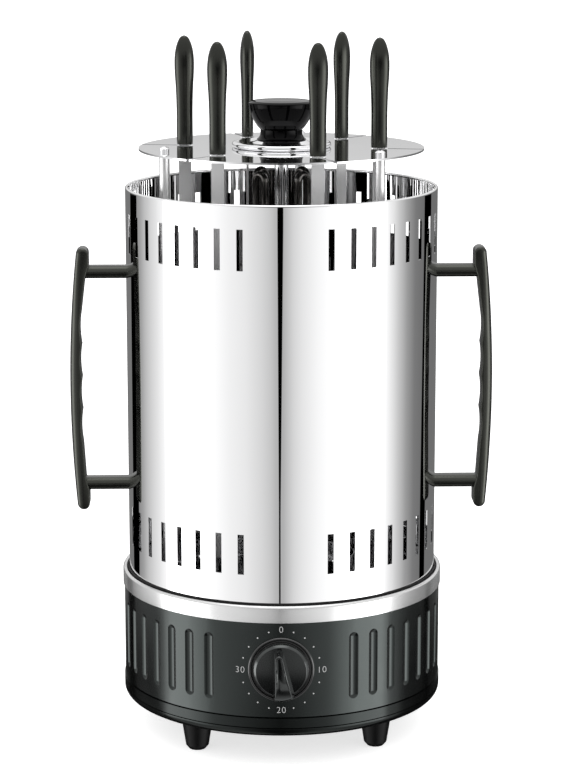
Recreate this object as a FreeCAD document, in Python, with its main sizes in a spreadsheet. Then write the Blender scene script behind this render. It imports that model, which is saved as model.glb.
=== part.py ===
import FreeCAD, Part
import math
import os
import re
import Sketcher

# Vertical skewer grill: a drum-shaped base with the drive, six turning skewers
# around a central heater, and a lift-off mirror shell with two bow handles.
# Origin on the floor under the middle of the base, +Z up, -Y to the front (dial side).
# An azimuth counts from the front towards +X.

doc = FreeCAD.newDocument("skewer_grill")

SIZES = {
    # feet and bottom pan
    "foot_height": 22.0,
    "foot_top_radius": 9.8,
    "foot_tip_radius": 5.2,
    "foot_circle": 81.6,
    "foot_count": 4,
    "foot_flare": 2.6,
    "foot_flare_radius": 7.4,
    "foot_collar": 4.0,
    "foot_screw_sunk": 3.0,
    "foot_screw_end": 4.0,
    "foot_screw_radius": 2.0,
    "screw_head_radius": 3.6,
    "screw_head_height": 2.2,
    "pan_turn": 3.2,
    "pan_height": 15.0,
    "pan_radius": 104.6,
    "pan_floor": 1.6,
    "pan_edge_radius": 5.0,
    "pan_lip": 1.5,
    "pan_lip_height": 3.0,
    "pan_seam_height": 8.0,
    "pan_seam_depth": 0.5,
    "vent_length": 20.0,
    "vent_width": 3.0,
    "vent_circle": 46.0,
    "vent_count": 18,
    # drum wall
    "drum_height": 60.0,
    "drum_radius": 104.0,
    "drum_wall": 2.6,
    "groove_count": 17,
    "groove_pitch": 8.0,
    "groove_first": 26.0,
    "groove_width": 7.0,
    "groove_length": 43.6,
    "groove_depth": 1.4,
    "groove_height": 29.1,
    "boss_circle": 93.0,
    "boss_radius": 4.0,
    "boss_height": 12.0,
    "boss_azimuth": 60.0,
    "pan_screw_radius": 1.6,
    # trim ring, deck
    "ring_radius": 104.8,
    "ring_wall_height": 9.0,
    "ring_bead_radius": 1.6,
    "ring_ledge_height": 6.0,
    "ring_flange": 1.2,
    "ring_flange_radius": 94.0,
    "ring_lip": 2.4,
    "ring_lip_depth": 2.5,
    "deck_thickness": 1.0,
    "deck_rim_height": 5.0,
    "deck_lead_hole": 14.0,
    "fit_gap": 0.2,
    # drive
    "tooth_module": 2.0,
    "ring_teeth": 45,
    "pinion_teeth": 18,
    "first_azimuth": 21.2,
    "tooth_addendum": 0.85,
    "tooth_dedendum": 1.15,
    "tooth_play": 0.5,
    "pressure_angle": 20.0,
    "gear_face": 7.0,
    "gear_drop": 8.0,
    "plate_to_gear": 6.0,
    "gear_plate_thickness": 2.0,
    "gear_plate_radius": 86.0,
    "hub_radius": 15.0,
    "hub_bore": 11.0,
    "hub_flange_radius": 20.0,
    "hub_flange": 2.0,
    "gear_web": 3.0,
    "gear_rim": 4.0,
    "gear_window_radius": 7.0,
    "gear_window_circle": 29.0,
    "running_gap": 0.06,
    "foot_journal_radius": 4.0,
    "journal_radius": 8.0,
    "thrust_gap": 0.4,
    "bush_wall": 2.0,
    "bush_flange": 1.2,
    "bush_flange_radius": 12.0,
    "bush_length": 3.6,
    "nose_radius": 7.0,
    "nose_height": 10.5,
    "journal_rise": 4.0,
    "socket_depth": 12.0,
    "socket_gap": 0.15,
    "spacer_circle": 57.0,
    "spacer_radius": 4.0,
    "rivet_radius": 1.8,
    # motor
    "motor_spindle": 2,
    "motor_radius": 24.0,
    "motor_height": 20.0,
    "motor_recess": 2.0,
    "motor_recess_radius": 6.0,
    "motor_shaft_radius": 2.5,
    "motor_shaft_length": 16.0,
    "motor_shaft_below": 9.0,
    "motor_ear_length": 29.0,
    "motor_ear_width": 10.0,
    "motor_ear_thickness": 1.5,
    "motor_screw_radius": 1.5,
    "motor_screw_head": 2.0,
    "motor_screw_end": 1.5,
    # timer and dial
    "dial_height": 29.9,
    "timer_width": 38.0,
    "timer_depth": 20.0,
    "timer_clear": 2.2,
    "timer_bush_radius": 5.0,
    "timer_bush_hole": 5.3,
    "timer_shoulder": 7.0,
    "timer_bush_proud": 0.9,
    "timer_shaft_radius": 3.0,
    "timer_shaft_flat": 0.8,
    "timer_shaft_length": 20.0,
    "timer_shaft_inside": 6.0,
    "nut_across_flats": 13.0,
    "nut_height": 2.0,
    "bezel_radius": 20.9,
    "bezel_rise": 1.6,
    "bezel_rim": 1.5,
    "bezel_recess": 0.9,
    "knob_gap": 0.5,
    "knob_radius": 17.8,
    "knob_top_radius": 16.1,
    "knob_height": 4.6,
    "knob_edge": 1.4,
    "knob_bevel": 0.7,
    "knob_hollow_radius": 14.0,
    "knob_tilt": -5.0,
    "grip_length": 32.0,
    "grip_width": 11.4,
    "grip_tip_width": 4.4,
    "grip_top": 15.0,
    "grip_round": 1.2,
    "grip_draft": 4.0,
    # cord inlet and terminals
    "inlet_height": 18.0,
    "inlet_bore": 3.6,
    "inlet_radius": 6.0,
    "inlet_flange_radius": 9.0,
    "inlet_flange": 2.0,
    "inlet_snout": 4.8,
    "inlet_outside": 14.0,
    "inlet_inside": 8.0,
    "terminal_length": 34.0,
    "terminal_width": 16.0,
    "terminal_height": 13.0,
    "terminal_circle": 58.0,
    "terminal_azimuth": 225.0,
    "terminal_well": 3.6,
    "terminal_ways": 3,
    # heater, centre tube, posts, top plate
    "heater_base_radius": 27.0,
    "heater_base_height": 12.0,
    "heater_base_step": 4.0,
    "heater_tube_radius": 2.5,
    "hairpin_gap": 8.0,
    "hairpin_circle": 19.0,
    "hairpin_count": 4,
    "hairpin_turn": 45.0,
    "hairpin_height": 265.0,
    "hairpin_sunk": 6.0,
    "centre_tube_radius": 4.5,
    "centre_tube_wall": 1.5,
    "centre_tube_height": 277.8,
    "post_radius": 3.3,
    "post_circle": 79.0,
    "post_offset": 30.0,
    "post_count": 3,
    "post_stud_radius": 2.0,
    "post_stud_length": 3.6,
    "cap_radius": 3.15,
    "cap_height": 3.4,
    "cap_dome": 1.4,
    "top_plate_radius": 91.5,
    "top_plate_thickness": 1.2,
    "keyhole_radius": 4.8,
    "keyhole_slot": 2.4,
    # lid knob
    "saucer_radius": 31.8,
    "saucer_rim": 3.6,
    "saucer_bead": 1.7,
    "saucer_dish": 1.2,
    "saucer_dish_radius": 19.8,
    "saucer_centre_radius": 15.8,
    "saucer_centre_rise": 4.4,
    "pommel_foot_radius": 15.4,
    "pommel_neck_radius": 13.4,
    "pommel_foot_height": 2.0,
    "pommel_side": 60.0,
    "pommel_neck_height": 6.4,
    "pommel_rim_height": 22.0,
    "pommel_height": 24.6,
    "pommel_top_radius": 20.9,
    "pommel_rim": 1.0,
    "pommel_crown": 2.4,
    "knob_stud_radius": 2.5,
    "knob_stud_length": 30.0,
    "knob_stud_in_knob": 12.0,
    # shell
    "shell_radius": 100.5,
    "shell_height": 255.4,
    "shell_wall": 0.6,
    "shell_bead": 1.1,
    "shell_turn": 1.7,
    "slot_width": 4.0,
    "slot_length": 25.6,
    "slot_first": 16.2,
    "slot_pitch": 8.4,
    "slot_count": 8,
    "slot_low": 23.4,
    "slot_high": 214.6,
    # bow handles
    "stub_low": 59.8,
    "stub_span": 140.0,
    "stub_height": 7.6,
    "stub_width": 13.0,
    "bow_length": 173.0,
    "bow_below": 17.0,
    "bow_top_outer": 132.6,
    "bow_bottom_outer": 134.0,
    "bow_arc_radius": 800.0,
    "bow_thickness": 8.1,
    "bow_width": 15.0,
    "bow_edge": 3.0,
    "wave_count": 3,
    "wave_height": 0.8,
    "wave_pitch": 34.0,
    "handle_screw_radius": 2.0,
    "handle_screw_length": 14.0,
    # skewers
    "blade_width": 8.0,
    "blade_thickness": 1.1,
    "blade_tip": 16.0,
    "blade_point": 1.2,
    "tip_gap": 0.3,
    "blade_in_handle": 30.0,
    "handle_gap": 1.6,
    "handle_length": 68.8,
    "handle_width": 12.6,
    "handle_depth": 9.4,
    "cup_radius": 24.0,
    "cup_floor_radius": 19.0,
    "cup_height": 23.0,
    "cup_wall": 0.8,
}

# Levels and places that follow from the sizes, as formulas over them.
DERIVED = {
    "pan_top": "foot_height + pan_height",
    "drum_top": "pan_top + drum_height",
    "drum_bore": "drum_radius - drum_wall",
    "ledge": "drum_top + ring_ledge_height",
    "deck_top": "ledge + deck_thickness",
    "deck_radius": "shell_radius - shell_wall - 6 * fit_gap",
    "skewer_circle": "tooth_module * (ring_teeth + pinion_teeth) / 2",
    "gear_top": "ledge - gear_drop",
    "gear_bottom": "gear_top - gear_face",
    "gear_plate_top": "gear_bottom - plate_to_gear",
    "gear_plate_bottom": "gear_plate_top - gear_plate_thickness",
    "pinion_pitch": "tooth_module * pinion_teeth / 2",
    "ring_pitch": "tooth_module * ring_teeth / 2",
    "motor_shaft_top": "gear_plate_bottom + motor_shaft_length - motor_shaft_below",
    "tooth_tip": "tooth_addendum * tooth_module",
    "tooth_root": "tooth_dedendum * tooth_module",
    "tooth_half": "(pi * tooth_module / 2 - tooth_play / 2) / 2",
    "cup_seat": "deck_top + journal_rise",
    "nose_top": "cup_seat + nose_height",
    "blade_foot": "nose_top - socket_depth + tip_gap",
    "spacer_azimuth": "first_azimuth + 3 * post_offset",
    "motor_azimuth": "first_azimuth + 60 * motor_spindle",
    "dial_z": "pan_top + dial_height",
    "inlet_z": "pan_top + inlet_height",
    "dial_floor": "drum_radius + bezel_rise - bezel_recess",
    "knob_back": "dial_floor + knob_gap",
    "timer_front": "drum_bore - timer_clear",
    "bush_end": "drum_radius + nut_height + timer_bush_proud",
    "knob_hollow": "bush_end + thrust_gap - knob_back",
    "nut_radius": "nut_across_flats / 2 / cos(30)",
    "top_plate_bottom": "deck_top + centre_tube_height",
    "top_plate_top": "top_plate_bottom + top_plate_thickness",
    "blade_top": "top_plate_top + handle_gap",
    "saucer_top": "top_plate_top + saucer_centre_rise",
    "shell_top": "ledge + shell_height",
    "stub_z": "ledge + stub_low",
    "bow_foot": "stub_z - bow_below",
}


def full(text):
    """Writes a formula out with every derived name replaced and every size read from the sheet."""
    def swap(found):
        word = found.group(0)
        if word in DERIVED:
            return "(" + full(DERIVED[word]) + ")"
        if word in SIZES:
            return "dims." + word
        return word
    return re.sub(r"[a-z]+(?:_[a-z]+)*", swap, str(text))


def fill_sheet():
    sheet = doc.addObject("Spreadsheet::Sheet", "dims")
    for row, (name, size) in enumerate(SIZES.items(), start=1):
        sheet.set(f"A{row}", name)
        sheet.set(f"B{row}", str(size))
        sheet.setAlias(f"B{row}", name)
    doc.recompute()
    return sheet


dims = fill_sheet()
UPRIGHT = "vector(0; 0; 1)"
parts = {}


def value(text):
    return float(dims.evalExpression(full(text)))


def bind(thing, **formulas):
    for name, text in formulas.items():
        thing.setExpression(name, full(text))
    return thing


def shift(x="0", y="0", z="0", turn="0"):
    """A placement formula: a move, and a turn about +Z."""
    return f"placement(vector({x}; {y}; {z}); rotation({UPRIGHT}; {turn}))"


def spot(circle="0", azimuth="0", height="0", turn=None):
    """A placement formula: a point on a circle about the axis, turned about +Z."""
    turn = azimuth if turn is None else turn
    return shift(f"({circle}) * sin({azimuth})", f"-({circle}) * cos({azimuth})", height, turn)


def finish(thing, label):
    thing.Label = label
    parts[label] = thing
    return thing


# ---- sketches -------------------------------------------------------------------------------


def bow_centre(start, end, radius, side):
    chord = end - start
    middle = (start + end) / 2
    rise = math.sqrt(max(radius ** 2 - (chord.Length / 2) ** 2, 0.0))
    across = FreeCAD.Vector(-chord.y, chord.x, 0).normalize()
    return middle + across * rise * side


def draw(sketch, corners):
    """A closed outline. A corner is (x, y), or (x, y, radius, side) where an arc runs to the next
    corner with its centre on the left (1) or right (-1) of the way there. The radius "half"
    makes a half circle over a level or upright chord."""
    points = [FreeCAD.Vector(value(c[0]), value(c[1]), 0) for c in corners]
    first = sketch.GeometryCount
    ends = []
    for n, corner in enumerate(corners):
        start = points[n]
        end = points[(n + 1) % len(points)]
        if len(corner) == 2:
            sketch.addGeometry(Part.LineSegment(start, end), False)
            ends.append((1, 2))
            continue
        radius = (end - start).Length / 2 if corner[2] == "half" else value(corner[2])
        centre = bow_centre(start, end, radius, corner[3])
        angles = [math.atan2(p.y - centre.y, p.x - centre.x) for p in (start, end)]
        low, high = angles if corner[3] > 0 else angles[::-1]
        circle = Part.Circle(centre, FreeCAD.Vector(0, 0, 1), (start - centre).Length)
        sketch.addGeometry(Part.ArcOfCircle(circle, low, high if high > low else high + 2 * math.pi), False)
        ends.append((1, 2) if corner[3] > 0 else (2, 1))
    for n, corner in enumerate(corners):
        piece = first + n
        following = (n + 1) % len(points)
        joint = (piece, ends[n][1], first + following, ends[following][0])
        sketch.addConstraint(Sketcher.Constraint("Coincident", *joint))
        for axis, text in (("X", corner[0]), ("Y", corner[1])):
            hold(sketch, "Distance" + axis, (-1, 1, piece, ends[n][0]), text)
        if len(corner) > 2 and corner[2] == "half":
            axis, text = ("X", corner[0]) if corner[0] == corners[following][0] else ("Y", corner[1])
            hold(sketch, "Distance" + axis, (-1, 1, piece, 3), text)
        elif len(corner) > 2:
            hold(sketch, "Radius", (piece,), corner[2])
    return sketch


def hold(sketch, kind, places, text):
    """Adds one measured constraint and binds it to its formula."""
    number = sketch.addConstraint(Sketcher.Constraint(kind, *places, value(text)))
    name = f"size_{number}"
    sketch.renameConstraint(number, name)
    sketch.setExpression("Constraints." + name, full(text))


def ring(sketch, x, y, radius):
    """A circle with its centre and radius bound to formulas."""
    centre = FreeCAD.Vector(value(x), value(y), 0)
    piece = sketch.addGeometry(Part.Circle(centre, FreeCAD.Vector(0, 0, 1), value(radius)), False)
    hold(sketch, "DistanceX", (-1, 1, piece, 3), x)
    hold(sketch, "DistanceY", (-1, 1, piece, 3), y)
    hold(sketch, "Radius", (piece,), radius)


def sketch_on(body, role, name, offset=None):
    sketch = body.newObject("Sketcher::SketchObject", name)
    plane = [f for f in body.Origin.OriginFeatures if f.Role == role][0]
    sketch.AttachmentSupport = [(plane, "")]
    sketch.MapMode = "FlatFace"
    if offset:
        sketch.setExpression("AttachmentOffset", full(offset))
    return sketch


# ---- features -------------------------------------------------------------------------------


def body_named(name, place=None):
    body = doc.addObject("PartDesign::Body", name)
    if place:
        body.setExpression("Placement", full(place))
    return body


def turn_solid(body, corners):
    sketch = draw(sketch_on(body, "XZ_Plane", "profile"), corners)
    spun = body.newObject("PartDesign::Revolution", "turned")
    spun.Profile = sketch
    spun.ReferenceAxis = (sketch, ["V_Axis"])
    spun.Angle = 360
    doc.recompute()
    return spun


def cut_through(body, sketch, length=None, outward=False):
    """A pocket right through both ways, or of one length along the sketch's own normal."""
    before = body.Shape.Volume
    pocket = body.newObject("PartDesign::Pocket", "cut")
    pocket.Profile = sketch
    if length is None:
        pocket.Type = "ThroughAll"
        pocket.Midplane = True
    else:
        pocket.setExpression("Length", full(length))
        pocket.Reversed = outward
    doc.recompute()
    if body.Shape.Volume >= before - 1e-6:
        raise RuntimeError(f"{body.Name}: {pocket.Name} cuts nothing")
    return pocket


def repeat(body, feature, count, angle="360"):
    pattern = body.newObject("PartDesign::PolarPattern", "around")
    pattern.Originals = [feature]
    axis = [f for f in body.Origin.OriginFeatures if f.Role == "Z_Axis"][0]
    pattern.Axis = (axis, [""])
    pattern.setExpression("Occurrences", full(count))
    pattern.setExpression("Angle", full(angle))
    body.Tip = pattern
    doc.recompute()
    return pattern


def cylinder(name, radius, height, place):
    rod = bind(doc.addObject("Part::Cylinder", name), Radius=radius, Height=height)
    rod.setExpression("Placement", full(place))
    return rod


def box(name, length, width, height, place):
    block = bind(doc.addObject("Part::Box", name), Length=length, Width=width, Height=height)
    block.setExpression("Placement", full(place))
    return block


def turned(name, corners, place):
    """A solid of revolution about +Z from an outline of (radius, height) corners."""
    sketch = doc.addObject("Sketcher::SketchObject", name + "_profile")
    sketch.Placement = FreeCAD.Placement(FreeCAD.Vector(), FreeCAD.Rotation(FreeCAD.Vector(1, 0, 0), 90))
    draw(sketch, corners)
    spun = doc.addObject("Part::Revolution", name)
    spun.Source = sketch
    spun.Axis = FreeCAD.Vector(0, 0, 1)
    spun.Base = FreeCAD.Vector(0, 0, 0)
    spun.Angle = 360
    spun.Solid = True
    spun.setExpression("Placement", full(place))
    return spun


def fuse(name, *pieces):
    joined = doc.addObject("Part::MultiFuse", name)
    joined.Shapes = list(pieces)
    joined.Refine = True
    return joined


def cut(name, base, tool):
    left = doc.addObject("Part::Cut", name)
    left.Base = base
    left.Tool = tool
    return left


def group(name, pieces):
    together = doc.addObject("Part::Compound", name)
    together.Links = pieces
    return finish(together, name)


def forward(circle="0", azimuth="0", height="0"):
    """A placement formula whose local +Z points outwards along the azimuth."""
    base = f"vector(({circle}) * sin({azimuth}); -({circle}) * cos({azimuth}); {height})"
    lean = f"rotation({UPRIGHT}; {azimuth}) * rotation(vector(1; 0; 0); 90)"
    return f"placement({base}; {lean})"


# ---- base -----------------------------------------------------------------------------------


def make_bottom_pan():
    body = body_named("bottom_pan", spot(turn="pan_turn"))
    lip = "drum_bore - fit_gap"
    seam = "foot_height + pan_seam_height"
    turn_solid(body, [
        ("0", "foot_height"),
        ("pan_radius - pan_edge_radius", "foot_height", "pan_edge_radius", 1),
        ("pan_radius", "foot_height + pan_edge_radius"),
        ("pan_radius", f"{seam} - pan_seam_depth"),
        ("pan_radius - pan_seam_depth", seam),
        ("pan_radius", f"{seam} + pan_seam_depth"),
        ("pan_radius", "pan_top"),
        (lip, "pan_top"),
        (lip, "pan_top + pan_lip_height"),
        (f"{lip} - pan_lip", "pan_top + pan_lip_height"),
        (f"{lip} - pan_lip", "foot_height + pan_floor"),
        ("0", "foot_height + pan_floor"),
    ])
    vent = sketch_on(body, "XY_Plane", "vent")
    half = "vent_width / 2"
    inner = "vent_circle - vent_length / 2"
    outer = "vent_circle + vent_length / 2"
    draw(vent, [(inner, f"-{half}"), (outer, f"-{half}", "half", 1), (outer, half), (inner, half, "half", 1)])
    repeat(body, cut_through(body, vent), "vent_count")
    foot_hole = sketch_on(body, "XY_Plane", "foot_hole")
    ring(foot_hole, "foot_circle * sin(45)", "-foot_circle * cos(45)", "foot_screw_radius")
    repeat(body, cut_through(body, foot_hole), "foot_count")
    screw_hole = sketch_on(body, "XY_Plane", "screw_hole")
    azimuth = "boss_azimuth - pan_turn"
    x = f"boss_circle * sin({azimuth})"
    y = f"-boss_circle * cos({azimuth})"
    ring(screw_hole, x, y, "pan_screw_radius + fit_gap")
    repeat(body, cut_through(body, screw_hole), "3")
    finish(body, "bottom_pan")


def around(count, first):
    """The azimuth formulas of a number of pieces evenly spaced from the first."""
    return [f"{first} + 360 * {n} / {count}" for n in range(int(value(count)))]


def make_feet():
    feet = []
    screws = []
    head = "foot_screw_sunk + screw_head_height"
    end = "foot_height + pan_floor + foot_screw_end"
    for n, azimuth in enumerate(around("foot_count", "45 + pan_turn")):
        place = spot("foot_circle", azimuth)
        feet.append(turned(f"foot_{n}", [
            ("foot_screw_radius", head),
            ("screw_head_radius + fit_gap", head),
            ("screw_head_radius + fit_gap", "0"),
            ("foot_tip_radius", "0", "foot_tip_radius", 1),
            ("foot_flare_radius", "foot_flare"),
            ("foot_top_radius", "foot_height - foot_collar"),
            ("foot_top_radius", "foot_height"),
            ("foot_screw_radius", "foot_height"),
        ], place))
        screws.append(turned(f"foot_screw_{n}", [
            ("0", "foot_screw_sunk"),
            ("screw_head_radius", "foot_screw_sunk"),
            ("screw_head_radius", head),
            ("foot_screw_radius", head),
            ("foot_screw_radius", end),
            ("0", end),
        ], place))
    group("feet", feet)
    group("foot_screws", screws)


def make_base_drum():
    body = body_named("base_drum")
    turn_solid(body, [
        ("drum_bore", "pan_top"),
        ("drum_radius", "pan_top"),
        ("drum_radius", "drum_top"),
        ("drum_bore", "drum_top"),
    ])
    face = "drum_radius - groove_depth"
    last = "groove_first + groove_pitch * (groove_count - 1)"
    for side, start in (("right", "groove_first"), ("left", f"-({last})")):
        base = f"vector(({face}) * sin({start}); 0; ({face}) * cos({start}))"
        offset = f"placement({base}; rotation(vector(0; 1; 0); {start}))"
        groove = sketch_on(body, "XZ_Plane", "groove_" + side, offset)
        half = "groove_width / 2"
        middle = "pan_top + groove_height"
        low = f"{middle} - groove_length / 2 + {half}"
        high = f"{middle} + groove_length / 2 - {half}"
        draw(groove, [(half, low), (half, high, "half", 1), (f"-{half}", high), (f"-{half}", low, "half", 1)])
        pocket = cut_through(body, groove, "2 * groove_depth + 1", True)
        repeat(body, pocket, "groove_count", "groove_pitch * (groove_count - 1)")
    boss_foot = "pan_top + pan_lip_height + fit_gap"
    boss = sketch_on(body, "XY_Plane", "boss", shift(z=boss_foot, turn="boss_azimuth"))
    root = "-(drum_bore + drum_wall / 3)"
    draw(boss, [
        ("boss_radius", "-boss_circle"),
        ("boss_radius", root),
        ("-boss_radius", root),
        ("-boss_radius", "-boss_circle", "half", -1),
    ])
    pad = body.newObject("PartDesign::Pad", "boss_pad")
    pad.Profile = boss
    pad.setExpression("Length", full("boss_height"))
    doc.recompute()
    repeat(body, pad, "3")
    pilot = sketch_on(body, "XY_Plane", "pilot")
    ring(pilot, "boss_circle * sin(boss_azimuth)", "-boss_circle * cos(boss_azimuth)", "pan_screw_radius")
    repeat(body, cut_through(body, pilot), "3")
    dial_hole = sketch_on(body, "XZ_Plane", "dial_hole")
    ring(dial_hole, "0", "dial_z", "timer_bush_hole")
    cut_through(body, dial_hole, "drum_radius + drum_wall", True)
    inlet_hole = sketch_on(body, "XZ_Plane", "inlet_hole")
    ring(inlet_hole, "0", "inlet_z", "inlet_radius")
    cut_through(body, inlet_hole, "drum_radius + drum_wall")
    finish(body, "base_drum")


def make_pan_screws():
    screws = []
    reach = "pan_top + pan_lip_height + fit_gap + boss_height * 0.7"
    for n, azimuth in enumerate(around("3", "boss_azimuth")):
        screws.append(turned(f"pan_screw_{n}", [
            ("0", "foot_height - screw_head_height"),
            ("screw_head_radius", "foot_height - screw_head_height"),
            ("screw_head_radius", "foot_height"),
            ("pan_screw_radius", "foot_height"),
            ("pan_screw_radius", reach),
            ("0", reach),
        ], spot("boss_circle", azimuth)))
    group("pan_screws", screws)


def make_trim_ring():
    body = body_named("trim_ring")
    shoulder = "drum_top + ring_wall_height"
    inside = "ring_radius - 2 * ring_bead_radius"
    lip = "drum_bore - fit_gap"
    turn_solid(body, [
        ("ring_radius", "drum_top"),
        ("ring_radius", shoulder, "half", 1),
        (inside, shoulder),
        (inside, "ledge"),
        ("ring_flange_radius", "ledge"),
        ("ring_flange_radius", "ledge - ring_flange"),
        (f"{lip} - ring_lip", "ledge - ring_flange"),
        (f"{lip} - ring_lip", "drum_top - ring_lip_depth"),
        (lip, "drum_top - ring_lip_depth"),
        (lip, "drum_top"),
    ])
    finish(body, "trim_ring")


def plate_holes(body, name, circle, azimuth, radius, count):
    hole = sketch_on(body, "XY_Plane", name)
    ring(hole, f"({circle}) * sin({azimuth})", f"-({circle}) * cos({azimuth})", radius)
    repeat(body, cut_through(body, hole), count)


def make_deck():
    body = body_named("deck")
    rim = "deck_radius - deck_thickness"
    turn_solid(body, [
        ("deck_lead_hole", "ledge"),
        ("deck_radius", "ledge"),
        ("deck_radius", "ledge + deck_rim_height"),
        (rim, "ledge + deck_rim_height"),
        (rim, "deck_top"),
        ("deck_lead_hole", "deck_top"),
    ])
    plate_holes(body, "spindle_hole", "skewer_circle", "first_azimuth", "journal_radius + bush_wall", "6")
    post_azimuth = "first_azimuth + post_offset"
    plate_holes(body, "post_hole", "post_circle", post_azimuth, "post_stud_radius", "post_count")
    plate_holes(body, "rivet_hole", "spacer_circle", "spacer_azimuth", "rivet_radius", "3")
    finish(body, "deck")


def make_gear_plate():
    body = body_named("gear_plate")
    turn_solid(body, [
        ("hub_bore", "gear_plate_bottom"),
        ("gear_plate_radius", "gear_plate_bottom"),
        ("gear_plate_radius", "gear_plate_top"),
        ("hub_bore", "gear_plate_top"),
    ])
    bearing = "foot_journal_radius + running_gap"
    plate_holes(body, "spindle_hole", "skewer_circle", "first_azimuth", bearing, "6")
    plate_holes(body, "rivet_hole", "spacer_circle", "spacer_azimuth", "rivet_radius", "3")
    motor_holes = sketch_on(body, "XY_Plane", "motor_holes", shift(turn="motor_azimuth"))
    for side in ("-", ""):
        ring(motor_holes, side + "motor_ear_length", "-skewer_circle", "motor_screw_radius")
    cut_through(body, motor_holes)
    notch = sketch_on(body, "XY_Plane", "timer_notch")
    flat = "-(timer_front - timer_depth - 2 * fit_gap)"
    beyond = "-gear_plate_radius - gear_plate_thickness"
    draw(notch, [
        ("-gear_plate_radius", beyond),
        ("gear_plate_radius", beyond),
        ("gear_plate_radius", flat),
        ("-gear_plate_radius", flat),
    ])
    cut_through(body, notch)
    finish(body, "gear_plate")


def make_spacers():
    spacers = []
    for n, azimuth in enumerate(around("3", "spacer_azimuth")):
        spacers.append(turned(f"spacer_{n}", [
            ("0", "gear_plate_bottom"),
            ("rivet_radius", "gear_plate_bottom"),
            ("rivet_radius", "gear_plate_top"),
            ("spacer_radius", "gear_plate_top"),
            ("spacer_radius", "ledge"),
            ("rivet_radius", "ledge"),
            ("rivet_radius", "deck_top"),
            ("0", "deck_top"),
        ], spot("spacer_circle", azimuth)))
    group("spacers", spacers)


# ---- drive ----------------------------------------------------------------------------------


def add_teeth(body, pitch, teeth, bottom, height):
    """Straight-flanked teeth on a blank: one tooth on +Y, then the polar pattern."""
    tooth = sketch_on(body, "XY_Plane", "tooth", shift(z=bottom))
    tip = "tooth_half - tooth_tip * tan(pressure_angle)"
    root = "tooth_half + tooth_root * tan(pressure_angle) / 2"
    sunk = f"{pitch} - 1.4 * tooth_root"
    draw(tooth, [
        (root, sunk),
        (root, f"{pitch} - tooth_root"),
        (tip, f"{pitch} + tooth_tip"),
        (f"-({tip})", f"{pitch} + tooth_tip"),
        (f"-({root})", f"{pitch} - tooth_root"),
        (f"-({root})", sunk),
    ])
    pad = body.newObject("PartDesign::Pad", "tooth_pad")
    pad.Profile = tooth
    pad.setExpression("Length", full(height))
    doc.recompute()
    repeat(body, pad, teeth)


def make_gear_hub():
    body = body_named("gear_hub")
    turn_solid(body, [
        ("hub_bore", "gear_plate_top"),
        ("hub_flange_radius", "gear_plate_top"),
        ("hub_flange_radius", "gear_plate_top + hub_flange"),
        ("hub_radius", "gear_plate_top + hub_flange"),
        ("hub_radius", "gear_top + hub_flange"),
        ("hub_bore", "gear_top + hub_flange"),
    ])
    finish(body, "gear_hub")


def make_ring_gear():
    body = body_named("ring_gear", spot(turn="180"))
    bore = "hub_radius + running_gap"
    boss = "hub_flange_radius"
    seat = "gear_plate_top + hub_flange"
    web = "gear_bottom + (gear_face - gear_web) / 2"
    blank = "ring_pitch - tooth_root"
    turn_solid(body, [
        (bore, seat),
        (boss, seat),
        (boss, web),
        (f"{blank} - gear_rim", web),
        (f"{blank} - gear_rim", "gear_bottom"),
        (blank, "gear_bottom"),
        (blank, "gear_top"),
        (f"{blank} - gear_rim", "gear_top"),
        (f"{blank} - gear_rim", f"{web} + gear_web"),
        (boss, f"{web} + gear_web"),
        (boss, "gear_top"),
        (bore, "gear_top"),
    ])
    plate_holes(body, "window", "gear_window_circle", "0", "gear_window_radius", "6")
    add_teeth(body, "ring_pitch", "ring_teeth", "gear_bottom", "gear_face")
    finish(body, "ring_gear")


REST_TURNS = (0, 0, 50, 90, 0, 0)


def skewer_azimuth(n):
    return f"(first_azimuth + 60 * {n})"


def spindle_turn(n):
    """The rest angle of a spindle: in mesh with the ring gear, and as near as a tooth allows
    to the angle its skewer stands at."""
    mesh = f"({skewer_azimuth(n)} + (ring_teeth * {skewer_azimuth(n)} - 180) / pinion_teeth)"
    steps = round((REST_TURNS[n] - value(mesh)) * value("pinion_teeth") / 360)
    return f"({mesh} + {steps} * 360 / pinion_teeth)"


def spindle_place(n, height="0"):
    return spot("skewer_circle", skewer_azimuth(n), height, spindle_turn(n))


def make_spindle_gear(n):
    body = body_named(f"spindle_gear_{n + 1}", spindle_place(n))
    blank = "pinion_pitch - tooth_root"
    foot = "gear_plate_bottom - thrust_gap"
    shoulder = "gear_plate_top"
    bore_end = "motor_shaft_top + fit_gap"
    turn_solid(body, [
        ("motor_shaft_radius", foot),
        ("foot_journal_radius", foot),
        ("foot_journal_radius", shoulder),
        ("journal_radius", shoulder),
        ("journal_radius", "gear_bottom"),
        (blank, "gear_bottom"),
        (blank, "gear_top"),
        ("journal_radius", "gear_top"),
        ("journal_radius", "cup_seat"),
        ("nose_radius", "cup_seat"),
        ("nose_radius", "nose_top"),
        ("0", "nose_top"),
        ("0", bore_end),
        ("motor_shaft_radius", bore_end),
    ])
    add_teeth(body, "pinion_pitch", "pinion_teeth", "gear_bottom", "gear_face")
    socket = sketch_on(body, "XY_Plane", "socket", shift(z="nose_top - socket_depth"))
    x = "blade_width / 2 + socket_gap"
    y = "blade_thickness / 2 + socket_gap"
    draw(socket, [(x, f"-({y})"), (x, y), (f"-({x})", y), (f"-({x})", f"-({y})")])
    cut_through(body, socket, "2 * socket_depth", True)
    finish(body, f"spindle_gear_{n + 1}")


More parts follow.
